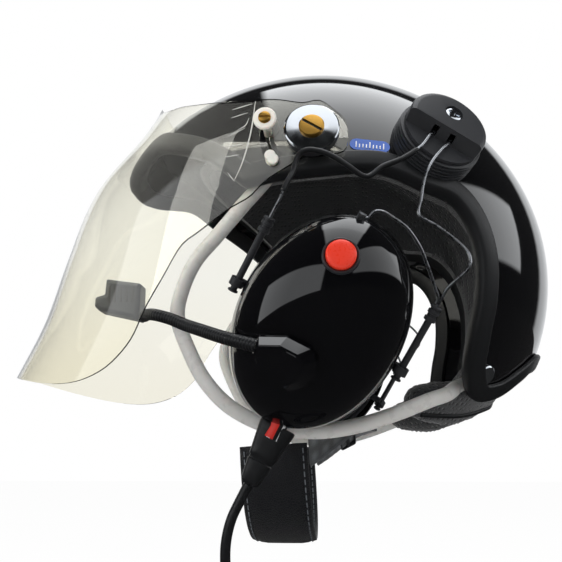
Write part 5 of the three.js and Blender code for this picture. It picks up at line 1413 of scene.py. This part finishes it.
def make_boom():
    details = bpy.context.scene.helmet_details
    seat = boom_frame()
    outline = np.array(HOUSING) * HOUSING_LENGTH
    low = 1.5
    # Broad facets slope from the outline to a flat front that lies nearer the neck's end
    front = outline * POD_FRONT_SHARE + POD_FRONT_OFFSET
    rings = []
    for height, ring in (
        (low, outline), (low + POD_WALL, outline), (low + HOUSING_HIGH - 0.4, front),
        (low + HOUSING_HIGH, front * 0.97),
    ):
        rings.append(np.column_stack([ring, np.full(len(ring), height)]))
    piece("boom_pod", loft(rings).moved(seat), "cup_gloss", "boom", ["boom_housing"], bevel=0.3, sharp=20)
    centre = front.mean(0)
    panel = slab((front - centre) * 0.86 + centre, low + HOUSING_HIGH - 0.2, low + HOUSING_HIGH + 0.25, 0.2)
    piece("boom_panel", panel.moved(seat), "shell_gloss", "boom", sharp=30)
    mid = low + HOUSING_HIGH / 2
    narrow = HOUSING[1][0] * HOUSING_LENGTH
    offset = (HOUSING[0][1] + HOUSING[1][1]) / 2 * HOUSING_LENGTH
    route = smooth_route(
        [from_frame(seat, narrow + BOOM, offset, mid)] + list(in_dome(BOOM_ROUTE)), details.rib_pitch / 6,
    )
    count = (len(route) - 1) / 6

    def ribbed(share):
        return BOOM - details.rib_depth * (0.5 - 0.5 * math.cos(share * count * 2 * math.pi)) ** 2

    piece("boom_neck", tube(route, ribbed, 16), "lead_rubber", "boom", ["boom_arm"], sharp=80)

    place = in_dome(MIC_PLACE)
    flat = np.array(MIC) * MIC_SIZE
    frame_of = placed(place, (1, 0, 0), (0, 0, 1), (0, -1, 0))
    head = slab(flat, -MIC_WIDE, MIC_WIDE, 1.8)
    piece("mic_body", head.moved(frame_of), "mic_plastic", "boom", ["mic_head"], bevel=0.7, sharp=30)
    bars = []
    for i in range(5):
        x = -5.5 + i * 3.4
        bar = [(x, -1.5), (x + 1.3, -1.5), (x + 1.3, 8), (x, 8)]
        bars.append(slab(bar, -MIC_WIDE - 0.25, MIC_WIDE + 0.25, 0.2))
    piece("mic_grille", joined(*bars).moved(frame_of), "lead_rubber", "boom", sharp=30)


# Lead


def boot_frame():
    z = unit((-0.46, -0.01, -0.888))
    x = -unit(np.cross((0, 1, 0), z))
    return placed(in_dome((-0.125, -0.862, -0.703)), x, np.cross(z, x), z)


def coil_route():
    spread = COIL_TURNS * COIL_PITCH
    turns = COIL_TURNS * 2 + 0.5
    steps = round(turns * 40)
    points = []
    for i in range(steps + 1):
        turn = i / steps * turns
        radius, height = COIL_RADIUS - spread / 2, COIL_PITCH
        if turn < COIL_TURNS:
            radius = COIL_RADIUS + spread / 2 - turn * COIL_PITCH
        elif turn < COIL_TURNS + 0.5:
            share = (turn - COIL_TURNS) * 2
            radius -= COIL_DIP * math.sin(math.pi * share)
            height = COIL_PITCH * (1 - share)
        else:
            radius += (turn - COIL_TURNS - 0.5) * COIL_PITCH
            height = 0
        angle = turn * 2 * math.pi - math.pi / 2
        points.append(COIL_CENTRE + np.array([math.cos(angle) * radius, math.sin(angle) * radius, height]))
    return np.array(points)


def make_lead():
    boot = boot_frame()
    coil = coil_route()
    way = unit((coil[-1] - coil[-2]) * [1, 1, 0])
    plug_at = coil[-1] + way * (PLUG * 3 + GAP)
    plug_at[2] = COIL_CENTRE[2] - CORD + PLUG
    tail = []
    for share in (0.35, 0.75, 1):
        t = min(share / 0.75, 1)
        rise = np.array([0, 0, (plug_at[2] - coil[-1][2]) * t * t * (3 - 2 * t)])
        tail.append(coil[-1] + way * PLUG * 3 * share + rise)
    route = smooth_route(list(smooth_route(CORD_ROUTE, 4)) + list(coil[2::2]) + tail, 1.6)
    cord = piece(
        "lead_cord", tube(route, lambda share: CORD, 12), "lead_rubber", "left_cup", ["cord", "cord_coil"],
        sharp=70,
    )

    plug_frame = turned_to(plug_at, way)
    grip = turned([
        (0, 0), (3.1, 0), (3.4, 0.4), (3.4, 1.6), (3.9, 1.9), (3.9, 3.2), (4.5, 3.5), (4.5, 4.8), (5, 5.2),
        (5, 15.2), (4.7, 15.7), (4.1, 15.8), (4.0, 16.2), (4.0, 25.6), (3.7, 26), (0, 26),
    ], 40)
    plug = piece("plug_grip", grip.moved(plug_frame), "lead_rubber", "left_cup", ["plug"])
    tip = turned([
        (0, 25.9), (TIP, 25.9), (TIP, 31), (1.55, 31.1), (1.55, 31.8), (TIP, 31.9), (TIP, 34.4),
        (1.55, 34.5), (1.55, 35.2), (TIP, 35.3), (TIP, 37), (1.2, 38), (1.35, 38.6), (0.9, 39.7), (0, 40),
    ], 28)
    pin = piece("plug_pin", tip.moved(plug_frame), "brass", "left_cup")
    (np.array(CORD_ROUTE[0]) - [0, 0, CROWN]) / 1000

    # A bright collar stands in front of the boot's top, with a red stripe along it, and pale silver stripes
    # and a black stripe painted on it as reflections of the chrome
    collar = turned(
        [(0, -8.5), (COLLAR - 0.3, -8.5), (COLLAR, -8.2), (COLLAR, 7.6), (COLLAR - 0.4, 8), (0, 8)], 48,
    )
    front = shifted(0, COLLAR_FORWARD, 0)
    piece("lead_collar", collar.moved(front).moved(boot), "chrome", "left_cup", ["lead_ring"])
    # The silver stripes are painted highlights and the dark stripe a painted dark reflection; the red stripe
    # is the sleeve's own colour
    colour_and_reflection_stripes = (
        ("left", "highlight_silver", 132, 158), ("red", "red_sleeve", 78, 132), ("dark", "lead_rubber", 56, 78),
        ("right", "highlight_silver", 38, 56),
    )
    for name, slot, start, stop in colour_and_reflection_stripes:
        angles = np.radians(np.linspace(start, stop, 9))
        arc = [(math.cos(t), math.sin(t)) for t in angles]
        outer, inner = COLLAR + 0.12, COLLAR - 0.3
        outline = [(x * outer, y * outer) for x, y in arc] + [(x * inner, y * inner) for x, y in arc[::-1]]
        piece(f"lead_colour_and_reflection_stripe_{name}", slab(outline, -8, 7.5).moved(front).moved(boot), slot, "left_cup")
    rings = []
    turn = (np.arange(40) + 0.5) / 40 * 2 * np.pi
    square = [np.sign(f(turn)) * np.abs(f(turn)) ** 0.5 for f in (np.cos, np.sin)]
    for share in (0, 0.015, 0.05, 0.2, 0.35, 0.5, 0.56, 0.58, 0.62, 0.64, 0.8, 0.95, 0.985, 1):
        inset = {0: 0.9, 0.015: 0.3, 0.58: 0.5, 0.62: 0.5, 0.985: 0.3, 1: 0.9}.get(share, 0)
        wide = (19 + (9 - 19) * share) / 2 - inset
        deep = (13 + (9 - 13) * share) / 2 - inset
        rings.append(np.stack([wide * square[0], deep * square[1], np.full(40, GAP + share * 31)], 1))
    piece("lead_boot_sleeve", loft(rings).moved(boot), "lead_rubber", "left_cup", ["lead_boot"], sharp=40)


# Chin strap


def strap_ways(share):
    ways = smooth_route(STRAP_WAY, 0.05)
    return ways[int(round(share * (len(ways) - 1)))]


def make_strap():
    details = bpy.context.scene.helmet_details
    route = smooth_route(in_dome(STRAP), 1.5)
    on_both_sides(
        "webbing", ribbon(route, rounded(10, 1.0, 0.5, 2), strap_ways), "webbing", "root", ["strap"],
        sharp=50,
    )

    side = [((-0.175 - 0.06 * (0.765 + z)) * HALF[0], y * HALF[1], z * HALF[2]) for y, z in PAD_SIDE]
    left = [(x, -y, z) for x, y, z in side]
    route = smooth_route(left + side[:-1][::-1], 2.0)
    half, thick = 19.0, 2.5
    section = [
        (half - 0.2, 0), (half - 0.5, 0.7), (half - 2.2, 1.15), (half - 3.2, 1.1), (half - 5, 1.9),
        (half - 9, thick - 0.05), (0, thick), (-half + 9, thick - 0.05), (-half + 5, 1.9),
        (-half + 3.2, 1.1), (-half + 2.2, 1.15), (-half + 0.5, 0.7), (-half + 0.2, 0),
    ]
    section += [(w, -t) for w, t in section[1:-1]][::-1]
    pad = piece(
        "chin_pad", ribbon(route, section, lambda share: (1, 0, 0)), "cushion_leather", "root",
        ["strap_pad"], sharp=60,
    )
    seam_route = smooth_route(left + side[:-1][::-1], details.stitch)
    ways = ways_along(seam_route)
    stitches = []
    for place, way in zip(seam_route[1:-1], ways[1:-1]):
        wide = unit(np.array([1, 0, 0]) - way * way[0])
        out = np.cross(way, wide)
        for edge in (-1, 1):
            for face in (-1, 1):
                centre = place + wide * edge * (half - 2.7) + out * face * 1.25
                reach = way * details.stitch * 0.33
                ends = np.array([centre - reach, centre + out * face * 0.12, centre + reach])
                stitches.append(tube(smooth_route(ends, 0.9, 4), lambda share: 0.34, 6))
    piece("chin_pad_stitching", joined(*stitches), "stitch_thread", "root", sharp=60)

    route = smooth_route(in_dome(STRAP), 0.5) * [1, -1, 1]
    index = int(0.45 * (len(route) - 1))
    way = ways_along(route)[index]
    wide = strap_ways(0.45) * [1, -1, 1]
    wide = unit(wide - way * np.dot(wide, way))
    frame_of = placed(route[index], wide, way, np.cross(wide, way))
    outer = slab(rounded(13, 6, 2, 4), -2.5, 2.5, 0.6)
    holes = [slab(rounded(10.4, 1.9, 0.6, 2), -6, 6).moved(shifted(0, y, 0)) for y in (-3.0, 3.0)]
    piece(
        "strap_slider", carved(outer, holes).moved(frame_of), "fitting_black", "root", ["strap_buckle"],
        bevel=0.3, sharp=30,
    )


# Size sticker: a blank pill with plain ruler ticks


def dome_patch(outline, lift):
    """A flat outline near the left puck laid on the dome."""
    rings = []
    for height in (lift - 0.3, lift):
        ring = []
        for x, z in outline:
            share = max(1 - (x / HALF[0]) ** 2 - (z / HALF[2]) ** 2, 0)
            place = np.array([x, -HALF[1] * math.sqrt(share), z])
            ring.append(place + dome_normal(place) * height)
        rings.append(ring)
    return loft(rings)


def make_sticker():
    centre = np.array([30.6, 49.6])
    turn = math.radians(-4)
    spin = np.array([[math.cos(turn), -math.sin(turn)], [math.sin(turn), math.cos(turn)]])
    pill = np.array(rounded(10.5, 3.6, 3.55, 8)) @ spin.T + centre
    piece("sticker_pill", dome_patch(pill, 0.35), "sticker_film", "root", sharp=50)
    ticks = []
    for i in range(9):
        high = 1.9 if i % 4 == 0 else 1.1
        bar = np.array([(-0.28, -1.9), (0.28, -1.9), (0.28, -1.9 + high * 2), (-0.28, -1.9 + high * 2)]) + [
            -7.2 + i * 1.8, 0,
        ]
        ticks.append(dome_patch(bar @ spin.T + centre, 0.45))
    piece("sticker_ticks", joined(*ticks), "sticker_ink", "root", sharp=50)


# Stage


CAMERA_AIM = (-0.0244, 0, -0.0951)
FLOOR_HALF = 4
# Strength of the soft light, of the dark room that the gloss mirrors, and of the wall that rims the dome
AMBIENT, ROOM, RIM = 0.34, 0.025, 0.9


def make_camera(stage):
    azimuth, elevation = stage.azimuth, stage.elevation
    level = math.cos(elevation)
    back = Vector((math.sin(azimuth) * level, -math.cos(azimuth) * level, math.sin(elevation)))
    data = bpy.data.cameras.new("Photograph camera")
    data.lens = stage.lens
    data.sensor_width = 36
    data.clip_start = 0.01
    camera = bpy.data.objects.new("Photograph camera", data)
    camera.location = Vector(CAMERA_AIM) + back * stage.distance
    camera.rotation_euler = back.to_track_quat("Z", "Y").to_euler()
    bpy.context.scene.collection.objects.link(camera)
    bpy.context.scene.camera = camera


def white_to_the_eye(tree, surface, white, strength=1.0):
    """The surface, but plain white to the camera and in mirrors and glass."""
    rays = node(tree, "LightPath")
    seen = maths(tree, "MAXIMUM", rays.outputs["Is Camera Ray"], rays.outputs["Is Transmission Ray"])
    share = maths(tree, "MULTIPLY", seen, strength)
    return node(tree, "MixShader", None, {0: share, 1: surface, 2: white}).outputs[0]


# Softboxes that the gloss mirrors: the way to each, its upper side, half its width and height seen
# from one metre, and its brightness
SOFTBOXES = [
    ((0.1, -0.114, 1), (0, 1, 0), 0.38, 0.754, 2.6),
    ((0.8, -0.42, 0.43), (0, 0, 1), 0.95, 0.27, 1.9),
    ((-0.66, -0.75, 0.07), (0, 0, 1), 0.62, 0.4, 2.2),
]


def softbox(tree, way, aim, up, half_wide, half_high, strength):
    """The brightness of a softbox in the gloss: even inside its outline, with edges a little soft."""
    side = up.cross(aim).normalized()
    ahead = node(tree, "VectorMath", {"operation": "DOT_PRODUCT"}, {0: way, 1: aim}).outputs["Value"]
    level = None
    for axis, half in ((side, half_wide), (aim.cross(side), half_high)):
        off = node(tree, "VectorMath", {"operation": "DOT_PRODUCT"}, {0: way, 1: axis}).outputs["Value"]
        reach = maths(tree, "ABSOLUTE", off)
        room = maths(tree, "MULTIPLY", ahead, half)
        left = maths(tree, "SUBTRACT", room, reach)
        inside = node(
            tree, "MapRange", None, {"Value": left, "From Max": 0.03, "To Max": strength},
        ).outputs[0]
        if level is not None:
            inside = maths(tree, "MINIMUM", level, inside)
        level = inside
    return level


def make_stage():
    stage = bpy.context.scene.helmet_stage
    make_camera(stage)
    scene = bpy.context.scene
    scene.view_settings.view_transform = "Standard"
    world = bpy.data.worlds.new("Light tent")
    world.use_nodes = True
    scene.world = world
    tree = world.node_tree
    soft = tree.nodes["Background"]
    soft.inputs["Color"].default_value = (1, 1, 1, 1)
    soft.inputs["Strength"].default_value = AMBIENT
    # What the gloss mirrors: a dark room with softboxes, and a pale wall far behind that rims the dome
    way = node(tree, "TexCoord").outputs["Generated"]
    height = node(tree, "SeparateXYZ", None, {0: way})
    total = node(tree, "MapRange", {"interpolation_type": "SMOOTHSTEP"}, {
        "Value": height.outputs["Y"], "From Min": 0.6, "From Max": 0.68, "To Min": ROOM, "To Max": RIM,
    }).outputs[0]
    for aim, up, half_wide, half_high, strength in SOFTBOXES:
        box = softbox(tree, way, Vector(aim).normalized(), Vector(up), half_wide, half_high, strength)
        total = maths(tree, "MAXIMUM", total, box)
    # The softboxes fade towards the camera
    fade = node(
        tree, "MapRange", None,
        {"Value": height.outputs["Y"], "From Min": -0.75, "From Max": 0.1, "To Min": 0.5, "To Max": 1.0},
    )
    total = maths(tree, "MULTIPLY", total, fade.outputs[0])
    mirrored_tent = node(tree, "Background", None, {"Color": (0.96, 0.98, 1, 1), "Strength": total})
    white = node(tree, "Background", None, {"Color": (1, 1, 1, 1), "Strength": 1.0})
    rays = node(tree, "LightPath")
    gloss = node(
        tree, "MixShader", None,
        {0: rays.outputs["Is Glossy Ray"], 1: soft.outputs[0], 2: mirrored_tent.outputs[0]},
    ).outputs[0]
    tree.links.new(
        white_to_the_eye(tree, gloss, white.outputs[0]), tree.nodes["World Output"].inputs["Surface"],
    )

    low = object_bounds()[0][2]
    corners = [(x * FLOOR_HALF, y * FLOOR_HALF, low) for x, y in ((-1, -1), (1, -1), (1, 1), (-1, 1))]
    mesh = bpy.data.meshes.new("Floor")
    mesh.from_pydata(corners, [], [(0, 1, 2, 3)])
    floor = bpy.data.objects.new("Floor", mesh)
    scene.collection.objects.link(floor)
    material, tree, shader, place = new_material("Studio paper, white", stage.floor, roughness=0.9)
    glow = node(tree, "Emission", None, {"Color": (1, 1, 1, 1), "Strength": 1.0})
    surface = white_to_the_eye(tree, shader.outputs[0], glow.outputs[0], 0.97)
    # The gloss mirrors a dark floor, as it does in the photograph
    dark = node(tree, "Emission", None, {"Color": (1, 1, 1, 1), "Strength": 0.03})
    mirrored = node(tree, "LightPath").outputs["Is Glossy Ray"]
    surface = node(tree, "MixShader", None, {0: mirrored, 1: surface, 2: dark.outputs[0]}).outputs[0]
    tree.links.new(surface, tree.nodes["Material Output"].inputs["Surface"])
    mesh.materials.append(material)
    floor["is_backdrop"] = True

    for name, place, aim, size, power in (
        ("Top_lamp", (-0.1, -0.25, 0.95), (0, 0, -0.1), (0.9, 0.7), 9),
        ("Rear_lamp", (1.0, 0.2, 0.35), (0.05, 0, -0.1), (0.6, 0.8), 4),
        ("Front_lamp", (-0.75, -0.75, 0.25), (-0.02, -0.05, -0.1), (0.35, 0.6), 3),
        ("Window_lamp", (0.3, -1.0, 0.55), (0, -0.1, -0.12), (0.3, 0.3), 1.8),
    ):
        data = bpy.data.lights.new(name, "AREA")
        data.shape = "RECTANGLE"
        data.size, data.size_y = size
        data.energy = power
        lamp = bpy.data.objects.new(name, data)
        lamp.visible_glossy = False
        lamp.location = place
        lamp.rotation_euler = (Vector(place) - Vector(aim)).to_track_quat("Z", "Y").to_euler()
        scene.collection.objects.link(lamp)


def paint_cad_nodes():
    """Gives every CAD node the finish of its slot."""
    for entry in frame["record"]["subparts"]:
        mesh = frame["nodes"][entry["node"]].data
        mesh.materials.clear()
        mesh.materials.append(finish(entry["material_slot"]))


STEPS = [
    ("stage", "Stage", "Sets up the camera, the floor and the lamps", make_stage),
    ("paint", "Paint the frame", "Gives the packed pieces their finishes", paint_cad_nodes),
    ("lead", "Lead and plug", "Builds the boot, the coiled lead and its plug", make_lead),
    ("shell", "Shell and foam", "Builds the lacquered shell and its foam liner", make_shell),
    ("trim", "Edge trim", "Builds the rubber trim round the opening", make_trim),
    ("lining", "Lining", "Builds the sewn lining pads", make_lining),
    ("neck_roll", "Neck roll", "Builds the padding round the nape", make_neck_roll),
    ("visor", "Visor", "Builds the clear visor and its creases", make_visor),
    ("pivots", "Visor pivots", "Builds the discs, screws, knobs and stops", make_pivots),
    ("hoops", "Hoops and rivets", "Builds the tube hoops and the strap's rivets", make_hoops),
    ("pucks", "Swivel pucks", "Builds the threaded pucks with their caps", make_pucks),
    ("cups", "Ear cups", "Builds the cups, plates, cushions and drivers", make_cups),
    ("wires", "Wires and sleeves", "Builds the spring wires, bails and sleeves", make_wires),
    ("button", "Talk button", "Builds the push button and its bezel", make_button),
    ("boom", "Boom", "Builds the boom's pod, gooseneck and microphone", make_boom),
    ("strap", "Chin strap", "Builds the webbing, chin pad and slider", make_strap),
    ("sticker", "Size sticker", "Builds the blank size sticker", make_sticker),
]


def operator_class(key, label, note, work):
    def execute(self, context):
        work()
        return {"FINISHED"}

    return type(f"HELMET_OT_{key}", (bpy.types.Operator,), {
        "__doc__": note, "bl_idname": f"helmet.{key}", "bl_label": label, "execute": execute,
    })


class HELMET_PT_panel(bpy.types.Panel):
    """Lists the helmet's settings and its building steps"""
    bl_idname = "HELMET_PT_panel"
    bl_label = "Paramotor helmet"
    bl_space_type = "VIEW_3D"
    bl_region_type = "UI"
    bl_category = "Helmet"

    def draw(self, context):
        for group in (
            context.scene.helmet_finishes, context.scene.helmet_details, context.scene.helmet_stage,
        ):
            box = self.layout.box()
            for name in group.__annotations__:
                box.prop(group, name)
        for key, *_ in STEPS:
            self.layout.operator(f"helmet.{key}")


OPERATORS = [operator_class(*step) for step in STEPS]
CLASSES = [HelmetFinishes, HelmetDetails, HelmetStage, *OPERATORS, HELMET_PT_panel]


def register():
    for item in CLASSES:
        bpy.utils.register_class(item)
    bpy.types.Scene.helmet_finishes = PointerProperty(type=HelmetFinishes)
    bpy.types.Scene.helmet_details = PointerProperty(type=HelmetDetails)
    bpy.types.Scene.helmet_stage = PointerProperty(type=HelmetStage)


def unregister():
    del bpy.types.Scene.helmet_finishes
    del bpy.types.Scene.helmet_details
    del bpy.types.Scene.helmet_stage
    for item in reversed(CLASSES):
        bpy.utils.unregister_class(item)


def main():
    register()
    for key, *_ in STEPS:
        getattr(bpy.ops.helmet, key)()


if __name__ == "__main__":
    main()
